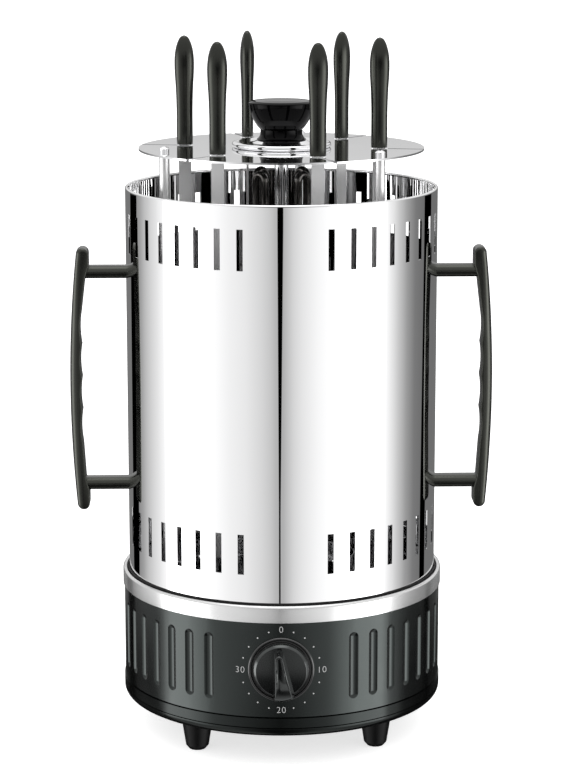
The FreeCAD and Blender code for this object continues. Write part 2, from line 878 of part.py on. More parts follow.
def make_spindle_bushes():
    bushes = []
    bore = "journal_radius + running_gap"
    for n, azimuth in enumerate(around("6", "first_azimuth")):
        bushes.append(turned(f"bush_{n}", [
            (bore, "deck_top + bush_flange - bush_length"),
            ("journal_radius + bush_wall", "deck_top + bush_flange - bush_length"),
            ("journal_radius + bush_wall", "deck_top"),
            ("bush_flange_radius", "deck_top"),
            ("bush_flange_radius", "deck_top + bush_flange"),
            (bore, "deck_top + bush_flange"),
        ], spot("skewer_circle", azimuth)))
    group("spindle_bushes", bushes)


def make_drip_cup(n):
    body = body_named(f"drip_cup_{n + 1}", spindle_place(n))
    floor = "cup_seat + cup_wall"
    bend = "cup_radius - cup_floor_radius"
    turn_solid(body, [
        ("nose_radius", "cup_seat"),
        ("cup_floor_radius", "cup_seat", bend, 1),
        ("cup_radius", f"cup_seat + {bend}"),
        ("cup_radius", "cup_seat + cup_height"),
        ("cup_radius - cup_wall", "cup_seat + cup_height"),
        ("cup_radius - cup_wall", f"cup_seat + {bend}", f"{bend} - cup_wall", -1),
        ("cup_floor_radius", floor),
        ("nose_radius", floor),
    ])
    finish(body, f"drip_cup_{n + 1}")


def motor_place(height="0"):
    return spot("skewer_circle", "motor_azimuth", height)


def make_motor():
    under = "gear_plate_bottom - motor_ear_thickness"
    low = motor_place("gear_plate_bottom - motor_height")
    can = cylinder("motor_can", "motor_radius", "motor_height", low)
    span = "2 * motor_ear_length + motor_ear_width"
    corner = motor_place(under) + " * " + shift(f"-({span}) / 2", "-motor_ear_width / 2")
    ears = box("motor_ears", span, "motor_ear_width", "motor_ear_thickness", corner)
    recess = cylinder("motor_recess_cut", "motor_recess_radius", "2 * motor_recess",
                      motor_place("gear_plate_bottom - motor_recess"))
    bore = cylinder("motor_bore_cut", "motor_shaft_radius + running_gap", "motor_shaft_below + fit_gap",
                    motor_place("gear_plate_bottom - motor_shaft_below - fit_gap"))
    hollows = [recess, bore]
    screws = []
    for n, side in enumerate(("-", "")):
        away = " * " + shift(side + "motor_ear_length")
        hollows.append(cylinder(f"motor_ear_hole_{n}", "motor_screw_radius", "3 * motor_ear_thickness",
                                motor_place("gear_plate_bottom - 2 * motor_ear_thickness") + away))
        screws.append(turned(f"motor_screw_{n}", [
            ("0", f"{under} - motor_screw_head"),
            ("2 * motor_screw_radius", f"{under} - motor_screw_head"),
            ("2 * motor_screw_radius", under),
            ("motor_screw_radius", under),
            ("motor_screw_radius", "gear_plate_top + motor_screw_end"),
            ("0", "gear_plate_top + motor_screw_end"),
        ], motor_place() + away))
    finish(cut("motor_case", fuse("motor_solid", can, ears), fuse("motor_hollow", *hollows)), "motor_case")
    group("motor_screws", screws)
    below = motor_place("gear_plate_bottom - motor_shaft_below")
    finish(cylinder("motor_shaft", "motor_shaft_radius", "motor_shaft_length", below), "motor_shaft")


# ---- timer and dial -------------------------------------------------------------------------


def facing(distance):
    """On the dial's axis at a distance in front of the grill's axis, local +Z pointing out."""
    return forward(distance, "0", "dial_z")


def upright_drum(name, height, length):
    """The drum's own outside as a cylinder about one height, to seat a piece on its curve."""
    return cylinder(name, "drum_radius", length, shift(z=f"{height} - ({length}) / 2"))


def make_timer():
    corner = shift("-timer_width / 2", "-timer_front", "dial_z - timer_width / 2")
    block = box("timer_block", "timer_width", "timer_depth", "timer_width", corner)
    seat = "sqrt(drum_bore ^ 2 - timer_shoulder ^ 2) - timer_front"
    shoulder = cylinder("timer_shoulder", "timer_shoulder", seat, facing("timer_front"))
    neck = cylinder("timer_neck", "timer_bush_radius", "bush_end - timer_front", facing("timer_front"))
    bore = cylinder("timer_bore", "timer_shaft_radius + running_gap", "2 * timer_depth",
                    facing("timer_front - timer_shaft_inside - fit_gap"))
    finish(cut("timer_case", fuse("timer_solid", block, shoulder, neck), bore), "timer_case")
    rod = cylinder("shaft_rod", "timer_shaft_radius", "timer_shaft_length",
                   facing("timer_front - timer_shaft_inside"))
    corner = shift("-timer_shaft_radius", "timer_shaft_radius - timer_shaft_flat")
    start = facing("knob_back + knob_hollow") + " * " + shift(turn="-knob_tilt")
    flat = box("shaft_flat", "2 * timer_shaft_radius", "timer_shaft_radius", "timer_shaft_length",
               start + " * " + corner)
    finish(cut("timer_shaft", rod, flat), "timer_shaft")


def make_timer_nut():
    prism = doc.addObject("Part::Prism", "nut_prism")
    prism.Polygon = 6
    seat = "sqrt(drum_radius ^ 2 - nut_radius ^ 2)"
    bind(prism, Circumradius="nut_radius", Height=f"drum_radius + nut_height - {seat}")
    prism.setExpression("Placement", full(facing(seat)))
    bore = cylinder("nut_bore", "timer_bush_radius", "3 * nut_height", facing("drum_radius - nut_height"))
    trim = upright_drum("nut_trim", "dial_z", "2 * timer_width")
    finish(cut("timer_nut", prism, fuse("nut_hollow", bore, trim)), "timer_nut")


def make_dial_bezel():
    seat = "drum_radius - sqrt(drum_radius ^ 2 - bezel_radius ^ 2)"
    hole = "nut_radius + fit_gap"
    crest = f"{seat} + bezel_rise - bezel_rim / 2"
    floor = f"{seat} + bezel_rise - bezel_recess"
    disc = turned("bezel_disc", [
        (hole, "0"),
        ("bezel_radius", "0"),
        ("bezel_radius", crest, "half", 1),
        ("bezel_radius - bezel_rim", crest),
        ("bezel_radius - bezel_rim", floor),
        (hole, floor),
    ], facing(f"drum_radius - ({seat})"))
    finish(cut("dial_bezel", disc, upright_drum("bezel_seat", "dial_z", "3 * bezel_radius")), "dial_bezel")


def make_timer_knob():
    """Round base with a tapered finger grip across it; the grip's narrow end is the pointer."""
    body = body_named("timer_knob", facing("knob_back") + " * " + shift(turn="-knob_tilt"))
    turn_solid(body, [
        ("0", "knob_hollow"),
        ("knob_hollow_radius", "knob_hollow"),
        ("knob_hollow_radius", "0"),
        ("knob_radius", "0"),
        ("knob_radius", "knob_edge"),
        ("knob_top_radius + knob_bevel", "knob_height - knob_bevel"),
        ("knob_top_radius", "knob_height"),
        ("0", "knob_height"),
    ])
    grip = sketch_on(body, "XY_Plane", "grip", shift(z="(knob_hollow + knob_height) / 2"))
    tip = "grip_tip_width / 2"
    wide = "grip_width / 2"
    low = "-grip_length / 2 + grip_round"
    high = f"grip_length / 2 - {tip}"
    draw(grip, [
        (tip, high, "half", 1),
        (f"-{tip}", high),
        (f"-{wide}", low, "knob_top_radius", 1),
        (wide, low),
    ])
    pad = body.newObject("PartDesign::Pad", "grip_pad")
    pad.Profile = grip
    pad.setExpression("Length", full("grip_top - (knob_hollow + knob_height) / 2"))
    pad.setExpression("TaperAngle", full("-grip_draft"))
    doc.recompute()
    socket = "timer_shaft_radius"
    flat = f"{socket} - timer_shaft_flat"
    edge = f"sqrt({socket} ^ 2 - ({flat}) ^ 2)"
    bore = sketch_on(body, "XY_Plane", "shaft_bore")
    draw(bore, [
        (edge, flat),
        (f"-{edge}", flat, socket, 1),
        ("0", f"-{socket}", socket, 1),
    ])
    shaft_end = "timer_front - timer_shaft_inside + timer_shaft_length"
    cut_through(body, bore, f"{shaft_end} - (knob_back)", True)
    finish(body, "timer_knob")


# ---- cord inlet, terminals ------------------------------------------------------------------


def make_cord_gland():
    place = forward("drum_radius", "180", "inlet_z")
    seat = "drum_radius - sqrt(drum_radius ^ 2 - inlet_flange_radius ^ 2)"
    flange = turned("gland_flange", [
        ("inlet_bore", f"-({seat})"),
        ("inlet_flange_radius", f"-({seat})"),
        ("inlet_flange_radius", "inlet_flange"),
        ("inlet_radius", "inlet_flange"),
        ("inlet_snout", "inlet_outside"),
        ("inlet_bore", "inlet_outside"),
    ], place)
    outside = cut("gland_outside", flange, upright_drum("gland_seat", "inlet_z", "4 * inlet_radius"))
    neck = "inlet_radius - fit_gap"
    inside = turned("gland_neck", [
        ("inlet_bore", "-inlet_inside"),
        (neck, "-inlet_inside"),
        (neck, "inlet_flange"),
        ("inlet_bore", "inlet_flange"),
    ], place)
    finish(fuse("cord_gland", outside, inside), "cord_gland")


def make_terminal_block():
    place = spot("terminal_circle", "terminal_azimuth", "foot_height + pan_floor")
    corner = place + " * " + shift("-terminal_length / 2", "-terminal_width / 2")
    block = box("terminal_box", "terminal_length", "terminal_width", "terminal_height", corner)
    wells = []
    for n in range(int(value("terminal_ways"))):
        along = f"terminal_length * (({n} + 0.5) / terminal_ways - 0.5)"
        well = place + " * " + shift(along, "0", "terminal_height / 2")
        wells.append(cylinder(f"terminal_well_{n}", "terminal_well", "terminal_height", well))
    finish(cut("terminal_block", block, fuse("terminal_wells", *wells)), "terminal_block")


# ---- heater and top plate -------------------------------------------------------------------


def make_heater_base():
    body = body_named("heater_base")
    top = "deck_top + heater_base_height"
    turn_solid(body, [
        ("centre_tube_radius", "deck_top"),
        ("heater_base_radius", "deck_top"),
        ("heater_base_radius", f"{top} - heater_base_step"),
        ("heater_base_radius - heater_base_step", top),
        ("centre_tube_radius", top),
    ])
    legs = sketch_on(body, "XY_Plane", "legs", shift(z=f"{top} - hairpin_sunk", turn="hairpin_turn"))
    for side in ("", "-"):
        ring(legs, f"{side}hairpin_gap / 2", "-hairpin_circle", "heater_tube_radius")
    repeat(body, cut_through(body, legs, "2 * hairpin_sunk", True), "hairpin_count")
    finish(body, "heater_base")


def make_heating_element():
    """Sheathed rod elements folded into hairpins that stand around the centre tube."""
    hairpins = []
    foot = "deck_top + heater_base_height - hairpin_sunk"
    crown = "deck_top + hairpin_height - heater_tube_radius - hairpin_gap / 2"
    for n, azimuth in enumerate(around("hairpin_count", "hairpin_turn")):
        legs = []
        for side in ("-", ""):
            place = spot("hairpin_circle", azimuth, foot) + " * " + shift(side + "hairpin_gap / 2")
            legs.append(cylinder(f"leg_{n}", "heater_tube_radius", f"{crown} - ({foot})", place))
        bend = doc.addObject("Part::Torus", f"bend_{n}")
        bend.Angle3 = 180
        bind(bend, Radius1="hairpin_gap / 2", Radius2="heater_tube_radius")
        upright = "placement(vector(0; 0; 0); rotation(vector(1; 0; 0); 90))"
        bend.setExpression("Placement", full(spot("hairpin_circle", azimuth, crown) + " * " + upright))
        hairpins.append(fuse(f"hairpin_{n}", legs[0], bend, legs[1]))
    group("heating_element", hairpins)


def make_centre_tube():
    bore = "centre_tube_radius - centre_tube_wall"
    finish(turned("centre_tube", [
        (bore, "deck_top"),
        ("centre_tube_radius", "deck_top"),
        ("centre_tube_radius", "top_plate_bottom"),
        (bore, "top_plate_bottom"),
    ], spot()), "centre_tube")


def make_posts():
    posts = []
    caps = []
    stud_top = "top_plate_bottom + post_stud_length"
    dome = "top_plate_top + cap_height - cap_dome"
    for n, azimuth in enumerate(around("post_count", "first_azimuth + post_offset")):
        place = spot("post_circle", azimuth)
        posts.append(turned(f"post_{n}", [
            ("0", "ledge"),
            ("post_stud_radius", "ledge"),
            ("post_stud_radius", "deck_top"),
            ("post_radius", "deck_top"),
            ("post_radius", "top_plate_bottom"),
            ("post_stud_radius", "top_plate_bottom"),
            ("post_stud_radius", stud_top),
            ("0", stud_top),
        ], place))
        bulge = "(cap_radius ^ 2 + cap_dome ^ 2) / (2 * cap_dome)"
        caps.append(turned(f"cap_nut_{n}", [
            ("post_stud_radius", "top_plate_top"),
            ("cap_radius", "top_plate_top"),
            ("cap_radius", dome, bulge, 1),
            ("0", "top_plate_top + cap_height"),
            ("0", stud_top),
            ("post_stud_radius", stud_top),
        ], place))
    group("posts", posts)
    group("cap_nuts", caps)


def make_skewer_plate():
    body = body_named("skewer_plate")
    turn_solid(body, [
        ("knob_stud_radius", "top_plate_bottom"),
        ("top_plate_radius", "top_plate_bottom"),
        ("top_plate_radius", "top_plate_top"),
        ("knob_stud_radius", "top_plate_top"),
    ])
    keyhole = sketch_on(body, "XY_Plane", "keyhole", shift(turn="first_azimuth"))
    half = "keyhole_slot / 2"
    meet = f"skewer_circle + sqrt(keyhole_radius ^ 2 - ({half}) ^ 2)"
    beyond = "-top_plate_radius - keyhole_slot"
    draw(keyhole, [
        (half, f"-({meet})", "keyhole_radius", 1),
        ("0", "-skewer_circle + keyhole_radius", "keyhole_radius", 1),
        (f"-{half}", f"-({meet})"),
        (f"-{half}", beyond),
        (half, beyond),
    ])
    repeat(body, cut_through(body, keyhole), "6")
    post_azimuth = "first_azimuth + post_offset"
    plate_holes(body, "post_hole", "post_circle", post_azimuth, "post_stud_radius", "post_count")
    finish(body, "skewer_plate")


def make_lid_knob():
    edge = "top_plate_top + saucer_rim"
    finish(turned("knob_saucer", [
        ("knob_stud_radius", "top_plate_top"),
        ("saucer_radius - saucer_bead", "top_plate_top", "saucer_bead", 1),
        ("saucer_radius", "top_plate_top + saucer_bead"),
        ("saucer_radius", f"{edge} - saucer_bead", "saucer_bead", 1),
        ("saucer_radius - saucer_bead", edge),
        ("saucer_radius - 2 * saucer_bead", edge),
        ("saucer_dish_radius", f"{edge} - saucer_dish"),
        ("saucer_centre_radius", "saucer_top"),
        ("knob_stud_radius", "saucer_top"),
    ], spot()), "knob_saucer")
    stud_top = "saucer_top + knob_stud_in_knob"
    rim = "saucer_top + pommel_rim_height"
    finish(turned("top_knob", [
        ("knob_stud_radius", "saucer_top"),
        ("pommel_foot_radius", "saucer_top"),
        ("pommel_foot_radius", "saucer_top + pommel_foot_height"),
        ("pommel_neck_radius", "saucer_top + pommel_neck_height", "pommel_side", -1),
        ("pommel_top_radius", f"{rim} - pommel_rim / 2"),
        ("pommel_top_radius", f"{rim} + pommel_rim / 2"),
        ("pommel_top_radius - pommel_crown", "saucer_top + pommel_height"),
        ("0", "saucer_top + pommel_height"),
        ("0", stud_top),
        ("knob_stud_radius", stud_top),
    ], spot()), "top_knob")
    foot = spot(height=f"{stud_top} - knob_stud_length")
    finish(cylinder("knob_stud", "knob_stud_radius", "knob_stud_length", foot), "knob_stud")


# ---- shell and bow handles ------------------------------------------------------------------


def make_shell():
    body = body_named("shell", spot(turn="shell_turn"))
    inside = "shell_radius - shell_wall"
    rim = "shell_top - shell_bead"
    curl = "sqrt(shell_bead ^ 2 - (shell_bead - shell_wall) ^ 2)"
    turn_solid(body, [
        (inside, "ledge"),
        ("shell_radius", "ledge"),
        ("shell_radius", rim, "half", 1),
        ("shell_radius - 2 * shell_bead", rim, "shell_bead", 1),
        (inside, f"{rim} - {curl}"),
    ])
    last = "slot_first + slot_pitch * (slot_count - 1)"
    half = "slot_width / 2"
    for side, start in (("right", "slot_first"), ("left", f"-({last})")):
        turn = f"placement(vector(0; 0; 0); rotation(vector(0; 1; 0); {start}))"
        slots = sketch_on(body, "XZ_Plane", "slots_" + side, turn)
        for low in ("ledge + slot_low", "ledge + slot_high"):
            draw(slots, [
                (half, low),
                (half, f"{low} + slot_length"),
                (f"-{half}", f"{low} + slot_length"),
                (f"-{half}", low),
            ])
        repeat(body, cut_through(body, slots), "slot_count", "slot_pitch * (slot_count - 1)")
    screw_holes = sketch_on(body, "YZ_Plane", "screw_holes")
    for height in ("stub_z", "stub_z + stub_span"):
        ring(screw_holes, "0", height, "handle_screw_radius")
    cut_through(body, screw_holes)
    finish(body, "shell")


def bow_outline():
    """The bow seen from the front: an arched back, round ends and shallow finger waves inside."""
    low = "bow_foot + bow_thickness / 2"
    high = "bow_foot + bow_length - bow_thickness / 2"
    sag = "(bow_arc_radius - sqrt(bow_arc_radius ^ 2 - (bow_length / 2) ^ 2))"
    grip = f"(bow_top_outer + bow_bottom_outer) / 2 + {sag} - bow_thickness"
    bulge = "((wave_pitch / 2) ^ 2 + wave_height ^ 2) / (2 * wave_height)"
    waves = int(value("wave_count"))
    first = "stub_z + stub_span / 2 + wave_pitch * wave_count / 2"
    outline = [
        ("bow_bottom_outer", low, "bow_arc_radius", 1),
        ("bow_top_outer", high, "half", 1),
        ("bow_top_outer - bow_thickness", high),
        ("bow_top_outer - bow_thickness", "stub_z + stub_span - stub_height"),
    ]
    for n in range(waves):
        outline.append((grip, f"{first} - wave_pitch * {n}", bulge, -1))
    outline.append((grip, f"{first} - wave_pitch * {waves}"))
    outline.append(("bow_bottom_outer - bow_thickness", "stub_z + stub_height"))
    outline.append(("bow_bottom_outer - bow_thickness", low, "half", 1))
    return outline


def make_handle(name, turn):
    """A bow handle on two stubs that seat on the shell."""
    body = body_named(name, spot(turn=f"shell_turn + {turn}"))
    pad = body.newObject("PartDesign::Pad", "bow_pad")
    pad.Profile = draw(sketch_on(body, "XZ_Plane", "bow"), bow_outline())
    pad.setExpression("Length", full("bow_width"))
    pad.Midplane = True
    doc.recompute()
    round_back(body, pad)
    stubs = sketch_on(body, "YZ_Plane", "stubs", shift(z="shell_radius - shell_wall"))
    half = "(stub_width - stub_height) / 2"
    radius = "stub_height / 2"
    for height in ("stub_z", "stub_z + stub_span"):
        draw(stubs, [
            (half, f"{height} - {radius}", "half", 1),
            (half, f"{height} + {radius}"),
            (f"-({half})", f"{height} + {radius}", "half", 1),
            (f"-({half})", f"{height} - {radius}"),
        ])
    arm = body.newObject("PartDesign::Pad", "stub_pad")
    arm.Profile = stubs
    arm.setExpression("Length", full("bow_top_outer - bow_thickness / 2 - (shell_radius - shell_wall)"))
    doc.recompute()
    seat = sketch_on(body, "XY_Plane", "shell_seat", shift(z="bow_foot"))
    ring(seat, "0", "0", "shell_radius")
    cut_through(body, seat, "bow_length", True)
    bores = sketch_on(body, "YZ_Plane", "screw_bores", shift(z="shell_radius - shell_wall"))
    for height in ("stub_z", "stub_z + stub_span"):
        ring(bores, "0", height, "handle_screw_radius")
    cut_through(body, bores, "handle_screw_length", True)
    finish(body, name)


def round_back(body, pad):
    """Rounds the two long edges of the bow's arched back."""
    arch = value("bow_arc_radius")
    names = []
    for number, edge in enumerate(pad.Shape.Edges, start=1):
        if abs(getattr(edge.Curve, "Radius", 0) - arch) < 0.01:
            names.append(f"Edge{number}")
    fillet = body.newObject("PartDesign::Fillet", "rounded")
    fillet.Base = (pad, names)
    fillet.setExpression("Radius", full("bow_edge"))
    body.Tip = fillet
    doc.recompute()


def make_handle_screws():
    screws = []
    sides = ("90", "270")
    heights = ("stub_z", "stub_z + stub_span")
    seat = "(shell_radius - shell_wall - sqrt((shell_radius - shell_wall) ^ 2 - screw_head_radius ^ 2))"
    for n, (side, height) in enumerate((s, h) for s in sides for h in heights):
        screws.append(turned(f"handle_screw_{n}", [
            ("0", f"-screw_head_height - {seat}"),
            ("screw_head_radius", f"-screw_head_height - {seat}"),
            ("screw_head_radius", f"-{seat}"),
            ("handle_screw_radius", f"-{seat}"),
            ("handle_screw_radius", "handle_screw_length"),
            ("0", "handle_screw_length"),
        ], forward("shell_radius - shell_wall", f"{side} + shell_turn", height)))
    group("handle_screws", screws)


# ---- skewers --------------------------------------------------------------------------------


# Share of the handle's length, and of its full width, from its foot to its tip.
HANDLE_STATIONS = (
    (0, 0.82),
    (0.3, 0.82),
    (0.5, 0.88),
    (0.64, 0.97),
    (0.76, 1.0),
    (0.86, 0.9),
    (0.94, 0.66),
    (0.985, 0.36),
    (1, 0.12),
)


def make_skewer(n):
    """A flat pointed blade with a moulded oval handle."""
    number = n + 1
    blade = body_named(f"skewer_blade_{number}", spindle_place(n))
    half = "blade_width / 2"
    shoulder = "blade_foot + blade_tip"
    top = "blade_top + blade_in_handle"
    pad = blade.newObject("PartDesign::Pad", "flat")
    pad.Profile = draw(sketch_on(blade, "XZ_Plane", "outline"), [
        ("blade_point / 2", "blade_foot"),
        (half, shoulder),
        (half, top),
        (f"-{half}", top),
        (f"-{half}", shoulder),
        ("-blade_point / 2", "blade_foot"),
    ])
    pad.setExpression("Length", full("blade_thickness"))
    pad.Midplane = True
    doc.recompute()
    finish(blade, f"skewer_blade_{number}")
    sections = []
    for share, wide in HANDLE_STATIONS:
        oval = doc.addObject("Part::Ellipse", f"oval_{number}")
        bind(oval, MajorRadius=f"handle_width / 2 * {wide}", MinorRadius=f"handle_depth / 2 * {wide}")
        oval.setExpression("Placement", full(spindle_place(n, f"blade_top + handle_length * {share}")))
        sections.append(oval)
    skin = doc.addObject("Part::Loft", f"handle_skin_{number}")
    skin.Sections = sections
    skin.Solid = True
    skin.Ruled = True
    corner = shift("-blade_width / 2", "-blade_thickness / 2")
    pocket = box(f"handle_pocket_{number}", "blade_width", "blade_thickness", "blade_in_handle",
                 spindle_place(n, "blade_top") + " * " + corner)
    finish(cut(f"skewer_handle_{number}", skin, pocket), f"skewer_handle_{number}")


def main():
    make_bottom_pan()
    make_feet()
    make_base_drum()
    make_pan_screws()
    make_trim_ring()
    make_deck()
    make_gear_plate()
    make_spacers()
    make_gear_hub()
    make_ring_gear()
    make_spindle_bushes()
    make_motor()
    make_timer()
    make_timer_nut()
    make_dial_bezel()
    make_timer_knob()
    make_cord_gland()
    make_terminal_block()
    make_heater_base()
    make_heating_element()
    make_centre_tube()
    make_posts()
    make_skewer_plate()
    make_lid_knob()
    make_shell()
    make_handle("handle_right", "0")
    make_handle("handle_left", "180")
    make_handle_screws()
    for n in range(6):
        make_spindle_gear(n)
        make_drip_cup(n)
        make_skewer(n)
    doc.recompute()
    check_and_write()


def check_and_write():
    faults = [o.Name for o in doc.Objects if "Invalid" in o.State or "Error" in o.State]
    for name, thing in parts.items():
        if thing.Shape.isNull() or not thing.Shape.isValid() or not thing.Shape.Solids:
            faults.append(name)
    if faults:
        raise RuntimeError("faulty: " + ", ".join(faults))
    os.makedirs("parts", exist_ok=True)
    for name, thing in parts.items():
        thing.Shape.exportStep(f"parts/{name}.step")
        extent = thing.Shape.BoundBox
        print(f"{name}: {len(thing.Shape.Solids)} solid(s), {thing.Shape.Volume:.0f} mm3,",
              f"z {extent.ZMin:.1f}..{extent.ZMax:.1f}")


main()
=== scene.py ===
import math

import bmesh
import bpy
from mathutils import Matrix, Vector
from mathutils.geometry import interpolate_bezier


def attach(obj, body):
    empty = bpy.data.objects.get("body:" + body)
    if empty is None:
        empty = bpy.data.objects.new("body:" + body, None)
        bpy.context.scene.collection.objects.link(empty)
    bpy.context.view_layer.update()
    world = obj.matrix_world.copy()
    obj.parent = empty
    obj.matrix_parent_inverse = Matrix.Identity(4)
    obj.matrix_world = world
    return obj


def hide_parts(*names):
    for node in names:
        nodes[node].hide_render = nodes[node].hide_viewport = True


# Upright skewer grill. Sizes are in millimetres, azimuths in degrees from the front towards the right.
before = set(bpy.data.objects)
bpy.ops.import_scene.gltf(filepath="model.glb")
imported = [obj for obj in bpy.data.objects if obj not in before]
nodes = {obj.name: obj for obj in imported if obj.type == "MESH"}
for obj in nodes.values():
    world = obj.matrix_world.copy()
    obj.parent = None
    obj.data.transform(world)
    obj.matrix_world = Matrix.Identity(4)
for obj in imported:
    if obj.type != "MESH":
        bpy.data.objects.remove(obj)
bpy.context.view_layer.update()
scene = bpy.context.scene
mm = 0.001
weld = 0.002  # points closer than this are joined


def polar(radius, azimuth, height=0.0):
    turn = math.radians(azimuth)
    return Vector((radius * math.sin(turn), -radius * math.cos(turn), height)) * mm


def turned(degrees):
    return Matrix.Rotation(math.radians(degrees), 4, "Z")


def addPiece(name, mesh):
    piece = bpy.data.objects.new(name, mesh)
    scene.collection.objects.link(piece)
    return piece


# Uses up the builder; edges steeper than the sharp angle stay crisp.
def smoothMesh(name, builder, finish, sharp=34, turnOutwards=True):
    bmesh.ops.remove_doubles(builder, verts=builder.verts, dist=weld * mm)
    if turnOutwards:
        bmesh.ops.recalc_face_normals(builder, faces=builder.faces)
    for face in builder.faces:
        face.smooth = True
        face.material_index = 0
    mesh = bpy.data.meshes.new(name)
    builder.to_mesh(mesh)
    builder.free()
    if "custom_normal" in mesh.attributes:
        mesh.attributes.remove(mesh.attributes["custom_normal"])
    mesh.set_sharp_from_angle(angle=math.radians(sharp))
    mesh.materials.append(finish)
    return mesh


def newPiece(name, builder, finish, sharp=34):
    return addPiece(name, smoothMesh(name, builder, finish, sharp))


def fit(piece, body, slotName, *hidden):
    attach(piece, body)
    if hidden:
        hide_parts(*hidden)


# A copy of a frame part with its loose triangles joined, so that it shades smoothly.
def smoothCopy(node, name, finish, body, slotName, sharp=32):
    builder = bmesh.new()
    builder.from_mesh(nodes[node].data)
    piece = addPiece(name, smoothMesh(name, builder, finish, sharp, turnOutwards=False))
    fit(piece, body, slotName, node)
    return piece


def dress(node, finish):
    slots = nodes[node].data.materials
    slots.clear()
    slots.append(finish)


# Points round a middle; first and sweep are in radians, and both ends are included.
def arc(middle, radius, first=0.0, sweep=math.pi, steps=12):
    angles = [first + sweep * step / steps for step in range(steps + 1)]
    return [Vector((middle[0] + radius * math.cos(angle), middle[1] + radius * math.sin(angle)))
            for angle in angles]


# Corners are (radius, height) or (radius, height, fillet); a fillet becomes a short arc.
def roundedProfile(corners, steps=6):
    points = []
    for n, corner in enumerate(corners):
        here = Vector(corner[:2])
        if len(corner) < 3:
            points.append(here)
            continue
        fillet = corner[2]
        back = (Vector(corners[n - 1][:2]) - here).normalized()
        onward = (Vector(corners[(n + 1) % len(corners)][:2]) - here).normalized()
        half = back.angle(onward) / 2
        middle = here + (back + onward).normalized() * fillet / math.sin(half)
        start = here + back * fillet / math.tan(half) - middle
        end = here + onward * fillet / math.tan(half) - middle
        first = math.atan2(start.y, start.x)
        sweep = (math.atan2(end.y, end.x) - first + math.pi) % (2 * math.pi) - math.pi
        points += arc(middle, fillet, first, sweep, steps)
    return points


# Inner points of an arc from start to end; side +1 bulges to the right of the way, -1 to the left.
def arcBetween(start, end, radius, side, steps=12):
    start, end = Vector(start), Vector(end)
    chord = end - start
    reach = math.sqrt(max(radius * radius - chord.length_squared / 4, 0))
    left = Vector((-chord.y, chord.x)).normalized()
    middle = (start + end) / 2 + left * reach * side
    first = math.atan2(start.y - middle.y, start.x - middle.x)
    last = math.atan2(end.y - middle.y, end.x - middle.x)
    sweep = (last - first) * side % (2 * math.pi) * side
    return arc(middle, radius, first, sweep, steps)[1:-1]


# Faces between two rings of vertices; a ring of one vertex is a tip.
def bridge(builder, low, high):
    for n in range(max(len(low), len(high))):
        corners = []
        for ring, k in ((low, n), (low, n + 1), (high, n + 1), (high, n)):
            vert = ring[k % len(ring)]
            if vert not in corners:
                corners.append(vert)
        if len(corners) > 2:
            builder.faces.new(corners)


# A closed skin over loops of points, capped at both ends.
def skin(builder, loops):
    rings = [[builder.verts.new(point) for point in loop] for loop in loops]
    for low, high in zip(rings, rings[1:]):
        bridge(builder, low, high)
    for ring in (rings[0], rings[-1]):
        if len(ring) > 2:
            builder.faces.new(ring)


def spin(builder, profile, segments=192, closed=False, place=Matrix()):
    rings = []
    for radius, height in profile:
        turns = [360 * n / segments for n in range(segments)] if radius > 1e-6 else [0]
        rings.append([builder.verts.new(place @ polar(radius, turn, height)) for turn in turns])
    upper = rings[1:] + rings[:1] if closed else rings[1:]
    for low, high in zip(rings, upper):
        bridge(builder, low, high)


def lathe(name, profile, finish, sharp=34, **settings):
    builder = bmesh.new()
    spin(builder, profile, **settings)
    return newPiece(name, builder, finish, sharp)


# Inputs are label=kind, with _ for a blank and the kind as in NodeSocketFloat.
def newTree(name, **inputs):
    tree = bpy.data.node_groups.new(name, "GeometryNodeTree")
    tree.interface.new_socket("Geometry", in_out="INPUT", socket_type="NodeSocketGeometry")
    sockets = {}
    for key, kind in inputs.items():
        label = key.replace("_", " ")
        socket = tree.interface.new_socket(label, in_out="INPUT", socket_type="NodeSocket" + kind)
        sockets[label] = socket.identifier
    tree.interface.new_socket("Geometry", in_out="OUTPUT", socket_type="NodeSocketGeometry")
    return tree, sockets


